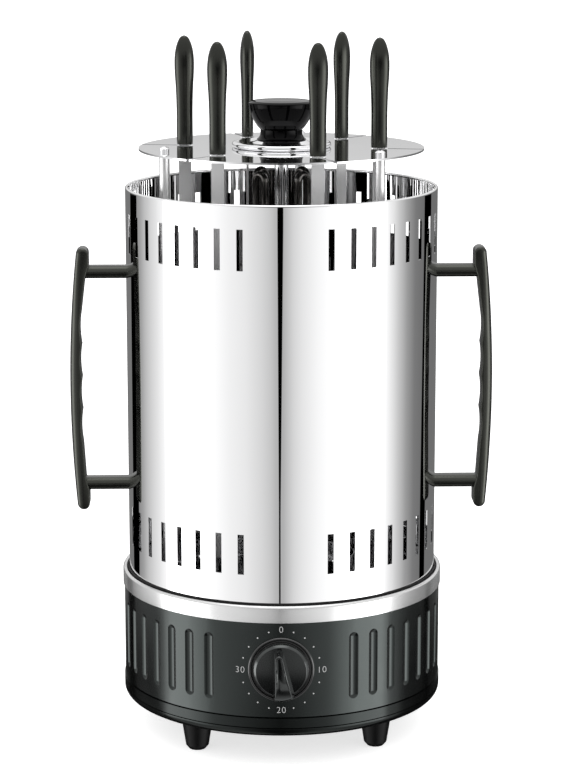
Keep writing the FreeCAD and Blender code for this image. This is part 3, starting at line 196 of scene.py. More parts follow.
class Graph:
    def __init__(self, tree):
        self.tree = tree

    def feed(self, socket, given):
        if isinstance(given, bpy.types.NodeSocket):
            self.tree.links.new(given, socket)
        else:
            socket.default_value = given

    # Inputs go by name, with _ for a blank, or by number as _0, _1 and so on.
    def add(self, kind, settings=None, **inputs):
        node = self.tree.nodes.new(kind)
        for key, setting in (settings or {}).items():
            setattr(node, key, setting)
        for key, given in inputs.items():
            place = int(key[1:]) if key[1:].isdigit() else key.replace("_", " ")
            self.feed(node.inputs[place], given)
        return node

    def calc(self, operation, *terms):
        node = self.add("ShaderNodeMath", {"operation": operation})
        for socket, given in zip(node.inputs, terms):
            self.feed(socket, given)
        return node.outputs[0]

    def times(self, one, other):
        return self.calc("MULTIPLY", one, other)

    # Maps the range start..end to first..last, and holds the ends.
    def spread(self, given, start, end, first, last):
        return self.add("ShaderNodeMapRange", Value=given, From_Min=start, From_Max=end,
                        To_Min=first, To_Max=last).outputs[0]

    # x and y of a point on a circle round the grill's axis, from an azimuth in radians.
    def onCircle(self, azimuth, radius):
        x = self.times(self.calc("SINE", azimuth), radius)
        return x, self.times(self.calc("COSINE", azimuth), self.times(radius, -1.0))

    # One copy of the shape at each place, turned to face outwards.
    def copies(self, shape, count, place, azimuth, tilt=0.0, chosen=True):
        line = self.add("GeometryNodeMeshLine", Count=count)
        spots = self.add("GeometryNodeSetPosition", Geometry=line.outputs[0], Position=place.outputs[0])
        facing = self.add("ShaderNodeCombineXYZ", X=tilt, Z=azimuth)
        return self.add("GeometryNodeInstanceOnPoints", Points=spots.outputs[0], Instance=shape,
                        Rotation=facing.outputs[0], Selection=chosen).outputs[0]

    # The end of each tree: real geometry that wears the given material.
    def finish(self, shape, material):
        real = self.add("GeometryNodeRealizeInstances", Geometry=shape)
        worn = self.add("GeometryNodeSetMaterial", Geometry=real.outputs[0], Material=material)
        self.add("NodeGroupOutput", Geometry=worn.outputs[0])


# Runs a tree on a start mesh and returns one plain mesh piece.
def runTree(name, startMesh, tree, sockets, settings, sharp=34):
    carrier = addPiece(name + "Start", startMesh)
    modifier = carrier.modifiers.new("build", "NODES")
    modifier.node_group = tree
    for label, given in settings.items():
        modifier[sockets[label]] = given
    shown = carrier.evaluated_get(bpy.context.evaluated_depsgraph_get())
    mesh = bpy.data.meshes.new_from_object(shown)
    mesh.name = name
    carrier.modifiers.remove(modifier)
    bpy.data.objects.remove(carrier)
    for face in mesh.polygons:
        face.use_smooth = True
    mesh.set_sharp_from_angle(angle=math.radians(sharp))
    return addPiece(name, mesh)


# Copies of the start mesh round a circle.
def circleTree():
    tree, sockets = newTree("copiesRoundCircle", Count="Int", Radius="Float", First_Azimuth="Float",
                            Step="Float", Material="Material")
    g = Graph(tree)
    given = g.add("NodeGroupInput").outputs
    index = g.add("GeometryNodeInputIndex").outputs[0]
    azimuth = g.calc("RADIANS", g.calc("MULTIPLY_ADD", index, given["Step"], given["First Azimuth"]))
    x, y = g.onCircle(azimuth, given["Radius"])
    place = g.add("ShaderNodeCombineXYZ", X=x, Y=y)
    g.finish(g.copies(given["Geometry"], given["Count"], place, azimuth), given["Material"])
    return tree, sockets


def roundCircle(name, builder, count, radius, first, finish):
    return runTree(name, smoothMesh(name + "One", builder, finish), *circleCopies, {
        "Count": count, "Radius": radius * mm, "First Azimuth": first, "Step": 360 / count,
        "Material": finish})


circleCopies = circleTree()
print("helpers ready")


noiseLow, noiseHigh = 0.3, 0.7  # where nearly all of a noise lies
lineShare = 0.7  # how much of a brushed finish's drift comes from its lines


# patch is the size of slow variation, grain a fine bump (size, depth), brushed the brush lines, coat a clear
# coat (weight, roughness) and tint the colour of the gleam.
def makeFinish(name, colour, roughness, metallic=0.0, spread=0.03, patch=18.0, tone=0.08,
               grain=None, brushed=None, coat=(0.0, 0.03), specular=0.5, tint=(1, 1, 1)):
    finish = bpy.data.materials.new(name)
    finish.use_nodes = True
    tree = finish.node_tree
    tree.nodes.clear()
    g = Graph(tree)
    shader = g.add("ShaderNodeBsdfPrincipled", Metallic=metallic, Coat_Weight=coat[0],
                   Coat_Roughness=coat[1], Specular_IOR_Level=specular, Specular_Tint=(*tint, 1))
    g.add("ShaderNodeOutputMaterial", Surface=shader.outputs[0])
    where = g.add("ShaderNodeTexCoord").outputs["Object"]
    drift = g.add("ShaderNodeTexNoise", Vector=where, Scale=1 / (patch * mm), Detail=3.0).outputs["Fac"]
    if brushed:
        lines = brushLines(g, where, brushed)
        drift = g.calc("MULTIPLY_ADD", lines, lineShare, g.times(drift, 1 - lineShare))
    rough = g.spread(drift, noiseLow, noiseHigh, roughness - spread, roughness + spread)
    g.feed(shader.inputs["Roughness"], rough)
    shade = g.add("ShaderNodeMix", {"data_type": "RGBA"}, _0=drift)
    g.feed(shade.inputs[6], [c * (1 - tone) for c in colour] + [1])
    g.feed(shade.inputs[7], [min(c * (1 + tone), 1) for c in colour] + [1])
    g.feed(shader.inputs["Base Color"], shade.outputs[2])
    if grain or brushed:
        if brushed:
            height, depth = lines, brushed[2]
        else:
            fine = g.add("ShaderNodeTexNoise", Vector=where, Scale=1 / (grain[0] * mm), Detail=2.0)
            height, depth = fine.outputs["Fac"], grain[1]
        bump = g.add("ShaderNodeBump", Height=height, Strength=1.0, Distance=depth * mm)
        g.feed(shader.inputs["Normal"], bump.outputs[0])
    return finish


lineArc, lineStretch = 0.1, 60  # metres of arc for each radian, and a line's length over its width


# Brush lines run round the grill's axis ("ring") or up it ("rise"); settings are (kind, line size, depth).
def brushLines(g, where, settings):
    kind, size = settings[:2]
    apart = g.add("ShaderNodeSeparateXYZ", Vector=where).outputs
    around = g.times(g.calc("ARCTAN2", apart["X"], apart["Y"]), lineArc)
    if kind == "ring":
        squares = g.calc("ADD", g.times(apart["X"], apart["X"]), g.times(apart["Y"], apart["Y"]))
        across, along = g.calc("ADD", g.calc("SQRT", squares), apart["Z"]), around
    else:
        across, along = around, apart["Z"]
    stretched = g.add("ShaderNodeCombineXYZ", X=g.times(across, 1 / (size * mm)),
                      Y=g.times(along, 1 / (lineStretch * size * mm)))
    return g.add("ShaderNodeTexNoise", Vector=stretched.outputs[0], Scale=1.0, Detail=3.0).outputs["Fac"]


mirrorSteel = makeFinish("mirrorSteel", (0.95, 0.95, 0.955), 0.014, 1.0, spread=0.006, patch=40, tone=0.01)
brushedTrim = makeFinish("brushedTrim", (0.76, 0.76, 0.76), 0.19, 0.78, spread=0.05, tone=0.05,
                         brushed=("ring", 0.15, 0.0015))
plateSteel = makeFinish("plateSteel", (0.90, 0.90, 0.91), 0.05, 1.0, spread=0.02, patch=30, tone=0.02)
saucerChrome = makeFinish("saucerChrome", (0.92, 0.92, 0.93), 0.05, 1.0, spread=0.02, patch=12, tone=0.02)
cupSteel = makeFinish("cupSteel", (0.86, 0.86, 0.87), 0.12, 1.0, spread=0.04, patch=8, tone=0.04)
bladeSteel = makeFinish("bladeSteel", (0.95, 0.95, 0.95), 0.36, 0.42, spread=0.06, tone=0.05,
                        brushed=("rise", 0.25, 0.002))
rodSteel = makeFinish("rodSteel", (0.86, 0.86, 0.87), 0.12, 1.0, spread=0.04, tone=0.04,
                      brushed=("ring", 0.2, 0.001))
postSteel = makeFinish("postSteel", (0.95, 0.95, 0.95), 0.3, 0.75, spread=0.05, tone=0.03,
                       brushed=("rise", 0.25, 0.001))
zincSteel = makeFinish("zincSteel", (0.62, 0.63, 0.66), 0.33, 1.0, spread=0.08, patch=5, tone=0.12)
sheathBlack = makeFinish("sheathBlack", (0.10, 0.095, 0.09), 0.12, 0.9, spread=0.05, patch=9, tone=0.3)
# Moulded black plastics gleam slightly green, the handles slightly olive.
greenish, olive = (0.885, 1.0, 0.97), (0.97, 1.0, 0.88)
drumBlack = makeFinish("drumBlack", (0.0022, 0.0024, 0.0024), 0.17, tone=0.12, grain=(0.45, 0.003),
                       specular=0.6, tint=greenish)
panBlack = makeFinish("panBlack", (0.002, 0.0022, 0.0022), 0.15, tone=0.12, grain=(0.45, 0.002),
                      specular=0.36, tint=greenish)
rubberBlack = makeFinish("rubberBlack", (0.004, 0.004, 0.0042), 0.4, spread=0.07, patch=6, tone=0.2,
                         grain=(0.3, 0.01), specular=0.2)
bowBlack = makeFinish("bowBlack", (0.003, 0.003, 0.003), 0.24, patch=14, tone=0.15, grain=(0.35, 0.0015),
                      specular=0.7, tint=olive)
gripBlack = makeFinish("gripBlack", (0.002, 0.002, 0.0022), 0.2, spread=0.04, patch=10, tone=0.15,
                       grain=(0.3, 0.002), specular=0.55, tint=olive)
knobBlack = makeFinish("knobBlack", (0.002, 0.002, 0.0022), 0.14, patch=10, tone=0.12, grain=(0.3, 0.001),
                       coat=(1.0, 0.08), tint=greenish)
bezelBlack = makeFinish("bezelBlack", (0.002, 0.002, 0.0022), 0.1, patch=10, tone=0.12, grain=(0.3, 0.0008),
                        coat=(1.0, 0.06), specular=0.6)
pommelGloss = makeFinish("pommelGloss", (0.0012, 0.0012, 0.0014), 0.07, spread=0.02, patch=14, tone=0.1,
                         specular=0.08)
# Near-black finish of the ring that paints the shade in the gap under the shell.
shadeGapBlack = makeFinish("shadeGapBlack", (0.006, 0.006, 0.006), 0.6, spread=0.08, patch=5, tone=0.2, specular=0.2)
printGrey = makeFinish("printGrey", (0.60, 0.60, 0.60), 0.45, spread=0.05, patch=2, tone=0.06)
ceramicDark = makeFinish("ceramicDark", (0.16, 0.155, 0.15), 0.62, spread=0.08, patch=4, tone=0.15,
                         grain=(0.5, 0.04))
nylonGear = makeFinish("nylonGear", (0.80, 0.79, 0.74), 0.42, spread=0.06, patch=10, tone=0.05,
                       grain=(0.4, 0.01))
bushPlastic = makeFinish("bushPlastic", (0.66, 0.64, 0.58), 0.45, spread=0.06, patch=8, tone=0.06,
                         grain=(0.4, 0.01))
innerPlastic = makeFinish("innerPlastic", (0.02, 0.02, 0.02), 0.5, spread=0.06, tone=0.15, grain=(0.5, 0.02),
                          specular=0.3)
terminalIvory = makeFinish("terminalIvory", (0.78, 0.75, 0.68), 0.4, spread=0.06, patch=8, tone=0.06,
                           grain=(0.4, 0.01))
screwSteel = makeFinish("screwSteel", (0.58, 0.58, 0.60), 0.28, 1.0, spread=0.08, patch=3, tone=0.1)
deckSteel = makeFinish("deckSteel", (0.74, 0.74, 0.75), 0.2, 1.0, spread=0.06, patch=20, tone=0.06,
                       brushed=("ring", 0.3, 0.002))
print("materials ready")

# Each groove is where a long bar cuts the drum's side a little; all angles are in degrees.
drum = {"radius": 104.0, "wall": 2.6, "foot": 35.1, "top": 97.0, "grooveFirst": 26.0, "groovePitch": 8.0,
        "grooveCount": 17, "grooveWidth": 7.0, "grooveLength": 43.6, "grooveMiddle": 66.1, "grooveDepth": 1.4,
        "edge": 0.3, "sharp": 26, "softenFrom": 24}


# Cuts the grooves into the start mesh, one run on each side. The bar is a ball drawn out lengthways.
def grooveTree():
    tree, sockets = newTree("groovedDrum", Count="Int", First_Azimuth="Float", Pitch="Float",
                            Bar_Radius="Float", Bar_Half_Length="Float", Bar_Circle="Float",
                            Height="Float", Material="Material")
    g = Graph(tree)
    given = g.add("NodeGroupInput").outputs
    ball = g.add("GeometryNodeMeshUVSphere", Segments=40, Rings=15, Radius=given["Bar Radius"])
    rise = g.add("ShaderNodeSeparateXYZ", Vector=g.add("GeometryNodeInputPosition").outputs[0]).outputs["Z"]
    drawn = g.add("ShaderNodeCombineXYZ", Z=g.times(g.calc("SIGN", rise), given["Bar Half Length"]))
    bar = g.add("GeometryNodeSetPosition", Geometry=ball.outputs[0], Offset=drawn.outputs[0])
    index = g.add("GeometryNodeInputIndex").outputs[0]
    side = g.calc("GREATER_THAN", index, g.calc("SUBTRACT", given["Count"], 0.5))
    step = g.calc("SUBTRACT", index, g.times(side, given["Count"]))
    azimuth = g.calc("MULTIPLY_ADD", step, given["Pitch"], given["First Azimuth"])
    azimuth = g.calc("RADIANS", g.times(azimuth, g.calc("MULTIPLY_ADD", side, -2.0, 1.0)))
    x, y = g.onCircle(azimuth, given["Bar Circle"])
    place = g.add("ShaderNodeCombineXYZ", X=x, Y=y, Z=given["Height"])
    bars = g.copies(bar.outputs[0], g.times(given["Count"], 2.0), place, azimuth)
    real = g.add("GeometryNodeRealizeInstances", Geometry=bars)
    carved = g.add("GeometryNodeMeshBoolean", {"operation": "DIFFERENCE", "solver": "EXACT"},
                   _0=given["Geometry"], _1=real.outputs[0])
    g.finish(carved.outputs[0], given["Material"])
    return tree, sockets


def makeDrum():
    d = drum
    inside = d["radius"] - d["wall"]
    builder = bmesh.new()
    spin(builder, roundedProfile([
        (inside, d["foot"]), (d["radius"], d["foot"], d["edge"]), (d["radius"], d["top"], d["edge"]),
        (inside, d["top"])], steps=3), segments=240, closed=True)
    half, depth = d["grooveWidth"] / 2, d["grooveDepth"]
    bar = (half ** 2 + depth ** 2) / (2 * depth)
    piece = runTree("groovedDrum", smoothMesh("drumStart", builder, drumBlack), *grooveTree(), {
        "Count": d["grooveCount"], "First Azimuth": d["grooveFirst"], "Pitch": d["groovePitch"],
        "Bar Radius": bar * mm, "Bar Half Length": (d["grooveLength"] / 2 - half) * mm,
        "Bar Circle": (d["radius"] + bar - depth) * mm, "Height": d["grooveMiddle"] * mm,
        "Material": drumBlack}, d["sharp"])
    soften = piece.modifiers.new("groove edges", "BEVEL")
    soften.width = d["edge"] * mm
    soften.segments = 2
    soften.limit_method = "ANGLE"
    soften.angle_limit = math.radians(d["softenFrom"])
    soften.use_clamp_overlap = True
    even = piece.modifiers.new("even shading", "WEIGHTED_NORMAL")
    even.keep_sharp = False
    even.weight = 50
    fit(piece, "base", "base_plastic", "base_drum")


makeDrum()
print("drum ready")

foot = {"height": 22.0, "top": 9.8, "collar": 4.0, "collarEdge": 0.8, "flare": 2.6, "flareRadius": 7.4,
        "flareEdge": 1.2, "tip": 5.2, "tipEdge": 0.6, "circle": 81.6, "count": 4, "turn": 48.2, "bore": 3.8,
        "boreDepth": 3.0}


def makeFeet():
    f = foot
    builder = bmesh.new()
    spin(builder, roundedProfile([
        (0, f["boreDepth"]), (f["bore"], f["boreDepth"]), (f["bore"], 0), (f["tip"], 0, f["tipEdge"]),
        (f["flareRadius"], f["flare"], f["flareEdge"]),
        (f["top"], f["height"] - f["collar"], f["collarEdge"]), (f["top"], f["height"]),
        (0, f["height"])]), segments=64)
    piece = roundCircle("rubberFeet", builder, f["count"], f["circle"], f["turn"], rubberBlack)
    fit(piece, "base", "foot_rubber", "feet")


makeFeet()

ring = {"radius": 104.8, "foot": 97.0, "shoulder": 106.0, "bead": 1.6, "ledge": 103.0, "flange": 94.0,
        "flangeUnder": 101.8, "lip": 101.2, "lipInside": 98.8, "lipFoot": 94.5}


def makeTrimRing():
    r = ring
    profile = [(r["radius"], r["foot"])]
    profile += arc((r["radius"] - r["bead"], r["shoulder"]), r["bead"], steps=16)
    profile += [(r["radius"] - 2 * r["bead"], r["ledge"]), (r["flange"], r["ledge"]),
                (r["flange"], r["flangeUnder"]), (r["lipInside"], r["flangeUnder"]),
                (r["lipInside"], r["lipFoot"]), (r["lip"], r["lipFoot"]), (r["lip"], r["foot"])]
    piece = lathe("trimRing", profile, brushedTrim, segments=240, closed=True)
    fit(piece, "base", "brushed_trim", "trim_ring")


# The edge and the seam of the pan's wall go from the frame's levels to new ones.
framePan = {"foot": 27.0, "seam": 30.0, "top": 37.0, "near": 0.1}
pan = {"top": 34.6, "seam": 27.9, "seamRadius": 103.4, "wallFoot": 27.1, "wallInside": 100.5}


def makePan():
    piece = smoothCopy("bottom_pan", "bottomPan", panBlack, "base", "base_plastic")
    was, near = framePan, framePan["near"]
    for vert in piece.data.vertices:
        height, radius = vert.co.z / mm, math.hypot(vert.co.x, vert.co.y) / mm
        if radius < pan["wallInside"] or not was["foot"] + near < height < was["top"] + near:
            continue
        if height > was["seam"]:
            share = (height - was["seam"]) / (was["top"] - was["seam"])
            level = pan["seam"] + (pan["top"] - pan["seam"]) * share
        else:
            share = (height - was["foot"]) / (was["seam"] - was["foot"])
            level = pan["wallFoot"] + (pan["seam"] - pan["wallFoot"]) * share
        vert.co.z = level * mm
        if abs(height - was["seam"]) < near / 2:
            vert.co.x *= pan["seamRadius"] / radius
            vert.co.y *= pan["seamRadius"] / radius


# Sizes of the dark ring that paints the shade in the gap between the trim ring and the shell.
shadeGap = {"inside": 100.62, "outside": 101.5, "foot": 103.05, "top": 108.5, "edge": 0.3}


# A dark ring in the gap between the trim ring and the shell, standing in for the gap's shadow: painted shade,
# not a real seal.
def makeShadeGap():
    e = shadeGap
    profile = roundedProfile([
        (e["inside"], e["foot"]), (e["outside"], e["foot"]), (e["outside"], e["top"], e["edge"]),
        (e["inside"], e["top"], e["edge"])], steps=3)
    fit(lathe("shellShadeGap", profile, shadeGapBlack, segments=240, closed=True), "base", "base_plastic")


makeTrimRing()
makeShadeGap()
makePan()
smoothCopy("cord_gland", "cordGland", innerPlastic, "base", "base_plastic")
print("base ready")

dial = {"height": 66.9, "seat": 101.878, "back": 0.4, "rise": 3.722, "radius": 20.9, "rim": 2.2,
        "recess": 0.9, "hole": 7.7}
# Local axes of the dial: x to the right, y up, z out of the front of the drum.
dialFrame = Matrix(((1, 0, 0, 0), (0, 0, -1, 0), (0, 1, 0, dial["height"] * mm), (0, 0, 0, 1)))
# gripFoot and gripCrest are (tip radius, top, half width, foot); dishSteps are (inset, share of the dish).
knob = {"back": 105.2, "radius": 17.8, "topRadius": 15.8, "edge": 1.6, "height": 4.6, "bevel": 1.3,
        "tilt": 6.5, "hollow": 14.0, "hollowDepth": 2.1, "backRound": 0.3, "edgeRound": 0.4, "topRound": 0.5,
        "gripFoot": (3.0, 14.6, 6.7, -15.4), "gripCrest": (2.3, 13.4, 5.5, -15.3), "gripTop": 15.0,
        "gripSunk": 0.6, "gripRound": 0.9, "gripBow": 18.0, "gripDish": 0.5,
        "dishSteps": ((0.25, 0.04), (0.6, 0.7), (0.9, 1.0))}
# Figures are (text, right, up) from the dial's middle; letterShare is a figure's height over its font size.
scale = {"dotPlaces": 20, "dotStep": 18.0, "figureEvery": 5, "dotRadius": 0.5, "dotCircle": 25.1,
         "dotRise": 26.0, "dotDrop": 0.7, "dotSag": 0.77, "figureHeight": 4.0, "letterShare": 0.69,
         "figureApart": 1.12, "figureThin": 0.085, "proud": 0.05,
         "figures": (("0", 0.0, 25.6), ("10", 25.5, -1.3), ("20", 0.0, -26.9), ("30", -25.9, -1.3))}


def makeBezel():
    b = dial
    bed = b["rise"] - b["recess"]
    profile = [(b["hole"], b["back"]), (b["radius"], b["back"])]
    profile += arc((b["radius"] - b["rim"] / 2, b["rise"] - b["rim"] / 2), b["rim"] / 2)
    profile += [(b["radius"] - b["rim"], bed), (b["hole"], bed)]
    seat = dialFrame @ Matrix.Translation((0, 0, b["seat"] * mm))
    piece = lathe("dialBezel", profile, bezelBlack, segments=160, closed=True, place=seat)
    fit(piece, "base", "dial_black", "dial_bezel")


# A finger grip seen from the front: round tip on top, straight sides, gently bowed foot.
def gripOutline(tip, high, wide, low):
    left, right = Vector((-wide, low)), Vector((wide, low))
    sideSteps = 8
    points = arc((0, high - tip), tip, steps=14)
    points += [points[-1].lerp(left, n / sideSteps) for n in range(1, sideSteps + 1)]
    points += arcBetween(left, right, knob["gripBow"], 1)
    points += [right.lerp(points[0], n / sideSteps) for n in range(sideSteps)]
    return points


def makeTimerKnob():
    k = knob
    place = dialFrame @ Matrix.Translation((0, 0, k["back"] * mm)) @ turned(k["tilt"])
    builder = bmesh.new()
    spin(builder, roundedProfile([
        (0, k["hollowDepth"]), (k["hollow"], k["hollowDepth"]), (k["hollow"], 0),
        (k["radius"], 0, k["backRound"]), (k["radius"], k["edge"], k["edgeRound"]),
        (k["topRadius"] + k["bevel"], k["height"] - k["bevel"], k["topRound"]),
        (k["topRadius"], k["height"], k["topRound"]), (0, k["height"])]), segments=160, place=place)
    foot, crest = gripOutline(*k["gripFoot"]), gripOutline(*k["gripCrest"])
    lip = k["gripRound"]
    start, end = k["height"] - k["gripSunk"], k["gripTop"] - lip
    middle = Vector((0, (k["gripCrest"][1] + k["gripCrest"][3]) / 2))
    # levels of the grip as (outline, depth): its sides, the round of its edge, then the dished crest
    levels = [([a.lerp(b, share) for a, b in zip(foot, crest)], start + (end - start) * share)
              for share in (0, 0.25, 0.5, 0.75, 1)]
    insets = arc((lip, lip), lip, math.pi, math.pi / 2, 5)[1:]
    insets += [(lip + inset, k["gripDish"] * share) for inset, share in k["dishSteps"]]
    levels += [([b - (b - middle).normalized() * inset for b in crest], k["gripTop"] - drop)
               for inset, drop in insets]
    skin(builder, [[place @ (Vector((*point, depth)) * mm) for point in outline]
                   for outline, depth in levels])
    fit(newPiece("timerKnob", builder, knobBlack), "timer", "dial_knob", "timer_knob")


# Dots round the dial, each laid on the drum's curve. Figures stand where the dots leave off.
def dotTree():
    tree, sockets = newTree("dialDots", Places="Int", Step="Float", Figure_Every="Int", Circle="Float",
                            Rise="Float", Drop="Float", Sag="Float", Dot_Radius="Float", Surface="Float",
                            Material="Material")
    g = Graph(tree)
    given = g.add("NodeGroupInput").outputs
    index = g.add("GeometryNodeInputIndex").outputs[0]
    free = g.calc("GREATER_THAN", g.calc("MODULO", index, given["Figure Every"]), 0.5)
    turn = g.calc("RADIANS", g.times(index, given["Step"]))
    right = g.times(g.calc("SINE", turn), given["Circle"])
    up = g.calc("SUBTRACT", g.times(g.calc("COSINE", turn), given["Rise"]), given["Drop"])
    up = g.calc("SUBTRACT", up, g.times(g.calc("POWER", g.calc("SINE", turn), 2.0), given["Sag"]))
    azimuth = g.calc("ARCSINE", g.calc("DIVIDE", right, given["Surface"]))
    x, y = g.onCircle(azimuth, given["Surface"])
    place = g.add("ShaderNodeCombineXYZ", X=x, Y=y, Z=up)
    dot = g.add("GeometryNodeMeshCircle", {"fill_type": "NGON"}, Vertices=20, Radius=given["Dot Radius"])
    dots = g.copies(dot.outputs[0], given["Places"], place, azimuth, tilt=math.radians(90), chosen=free)
    raised = g.add("GeometryNodeTransform", Geometry=dots, Translation=dialFrame.to_translation())
    g.finish(raised.outputs[0], given["Material"])
    return tree, sockets


def makeDialPrint():
    s = scale
    surface = (drum["radius"] + s["proud"]) * mm
    dots = runTree("dialDots", bpy.data.meshes.new("dotStart"), *dotTree(), {
        "Places": s["dotPlaces"], "Step": s["dotStep"], "Figure Every": s["figureEvery"],
        "Circle": s["dotCircle"] * mm, "Rise": s["dotRise"] * mm, "Drop": s["dotDrop"] * mm,
        "Sag": s["dotSag"] * mm, "Dot Radius": s["dotRadius"] * mm, "Surface": surface,
        "Material": printGrey})
    fit(dots, "base", "dial_black")
    for word, right, up in s["figures"]:
        curve = bpy.data.curves.new("figure" + word, "FONT")
        curve.body = word
        curve.size = s["figureHeight"] * mm / s["letterShare"]
        curve.offset = -s["figureThin"] * mm
        curve.space_character = s["figureApart"]
        curve.align_x, curve.align_y = "CENTER", "CENTER"
        text = bpy.data.objects.new("figure" + word, curve)
        mesh = bpy.data.meshes.new_from_object(text)
        bpy.data.objects.remove(text)
        for vert in mesh.vertices:
            x = vert.co.x + right * mm
            z = vert.co.y + up * mm + dialFrame.to_translation().z
            vert.co = Vector((x, -math.sqrt(surface ** 2 - x ** 2), z))
        mesh.materials.clear()
        mesh.materials.append(printGrey)
        fit(addPiece("dialFigure" + word, mesh), "base", "dial_black")


makeBezel()
makeTimerKnob()
makeDialPrint()
smoothCopy("timer_shaft", "timerShaft", screwSteel, "timer", "screw_steel")
print("dial ready")

# slotRows are (foot, top) of each row of slots; bead is the rolled rim and support a row close below it.
shell = {"radius": 100.5, "wall": 0.6, "foot": 103.0, "top": 358.4, "bead": 1.1, "support": 0.3, "turn": 1.7,
         "slotWidth": 4.0, "slotFirst": 16.2, "slotPitch": 8.4, "slotCount": 8,
         "slotRows": ((126.4, 152.0), (317.6, 343.2)), "columnWidth": 1.0}


# Azimuths of the shell's columns of vertices, and which of the columns are slots.
def shellColumns():
    s = shell
    half = math.degrees(math.asin(s["slotWidth"] / 2 / s["radius"]))
    middles = []
    for n in range(s["slotCount"]):
        middle = s["slotFirst"] + s["slotPitch"] * n
        middles += [middle, -middle, 180 + middle, 180 - middle]
    edges = sorted(((m - half) % 360, (m + half) % 360) for m in middles)
    columns, openings = [], []
    last = edges[-1][1] - 360
    for low, high in edges:
        between = max(round((low - last) / s["columnWidth"]), 1)
        columns += [last + (low - last) * n / between for n in range(between)]
        openings.append(len(columns))
        columns.append(low)
        last = high
    return columns, openings


def makeShell():
    s = shell
    inside = s["radius"] - s["wall"]
    rimFoot = s["top"] - s["bead"]
    heights = [s["foot"]] + [level for row in s["slotRows"] for level in row] + [rimFoot - s["support"]]
    # the bead curls back until it meets the inside of the wall
    curl = math.pi + math.acos(1 - s["wall"] / s["bead"])
    profile = [(s["radius"], height) for height in heights]
    profile += arc((s["radius"] - s["bead"], rimFoot), s["bead"], sweep=curl, steps=24)
    profile += [(inside, height) for height in reversed(heights)]
    columns, openings = shellColumns()
    builder = bmesh.new()
    rings = [[builder.verts.new(polar(radius, azimuth + s["turn"], height)) for azimuth in columns]
             for radius, height in profile]
    count = len(columns)
    opened = {(2 * row + 1, column) for row in range(len(s["slotRows"])) for column in openings}
    for row in range(len(rings)):
        low, high = rings[row], rings[(row + 1) % len(rings)]
        mirrored = len(rings) - 2 - row
        for column in range(count):
            onward = (column + 1) % count
            if (row, column) in opened or (mirrored, column) in opened:
                continue
            builder.faces.new((low[column], low[onward], high[onward], high[column]))
    for row, column in opened:
        onward = (column + 1) % count
        a, b = rings[row], rings[row + 1]
        c, d = rings[-1 - row], rings[-2 - row]
        builder.faces.new((a[column], b[column], d[column], c[column]))
        builder.faces.new((a[onward], b[onward], d[onward], c[onward]))
        builder.faces.new((a[column], a[onward], c[onward], c[column]))
        builder.faces.new((b[column], b[onward], d[onward], d[column]))
    fit(newPiece("mirrorShell", builder, mirrorSteel), "shell", "shell_chrome", "shell")


# The bow's finger waves run down its inner line from waveTop; neck is its thickness beside the stubs.
bow = {"foot": 145.8, "length": 173.0, "topOuter": 132.6, "bottomOuter": 134.0, "arc": 800.0, "thick": 8.1,
       "neck": 7.3, "width": 15.0, "backEdge": 4.7, "endEdge": 3.2, "edge": 0.9, "fadeSteps": 6,
       "endSteps": 12, "waves": 4, "waveSteps": 8, "wavePitch": 21.6, "waveDepth": 0.95, "waveTop": 276.5,
       "waveTip": 129.6, "stubs": (162.8, 302.8), "stubHeight": 8.2, "stubWidth": 13.0, "stubEnd": 129.5,
       "stubGap": 0.02, "stubSegments": 48}


# The bow from the side as (radius, height) points, and how many of them make the arched back.
def bowOutline():
    b = bow
    half, reach = b["thick"] / 2, b["stubHeight"] / 2
    low, high = b["foot"] + half, b["foot"] + b["length"] - half
    sag = b["arc"] - math.sqrt(b["arc"] ** 2 - ((high - low) / 2) ** 2)

    def neck(height):
        share = (height - low) / (high - low)
        outer = b["bottomOuter"] + (b["topOuter"] - b["bottomOuter"]) * share
        return Vector((outer + sag * (1 - (2 * share - 1) ** 2) - b["neck"], height))

    outline = [Vector((b["bottomOuter"], low))]
    outline += arcBetween((b["bottomOuter"], low), (b["topOuter"], high), b["arc"], 1, 24)
    back = len(outline)
    outline += arc((b["topOuter"] - half, high), half, steps=b["endSteps"])
    outline += [Vector((b["topOuter"] - b["thick"], b["stubs"][1] + reach)), neck(b["stubs"][1] - reach)]
    for step in range(b["waves"] * b["waveSteps"] + 1):
        along = step / b["waveSteps"]
        scallop = 4 * (along % 1) * (1 - along % 1) * b["waveDepth"]
        outline.append(Vector((b["waveTip"] + scallop, b["waveTop"] - b["wavePitch"] * along)))
    outline += [neck(b["stubs"][0] + reach), Vector((b["bottomOuter"] - b["thick"], b["stubs"][0] - reach))]
    outline += arc((b["bottomOuter"] - half, low), half, first=math.pi, steps=b["endSteps"])[:-1]
    return outline, back


# Fillet of each outline point: large on the arched back, and fading out over the round ends.
def bowFillets(count, back):
    b = bow
    fillets = []
    for n in range(count):
        if n < back:
            onBack = min(n, back - 1 - n, b["fadeSteps"]) / b["fadeSteps"]
            fillets.append(b["endEdge"] + (b["backEdge"] - b["endEdge"]) * onBack)
        else:
            onEnd = max(1 - (n - back) / b["endSteps"], 1 - (count - n) / b["endSteps"], 0)
            fillets.append(b["edge"] + (b["endEdge"] - b["edge"]) * onEnd)
    return fillets


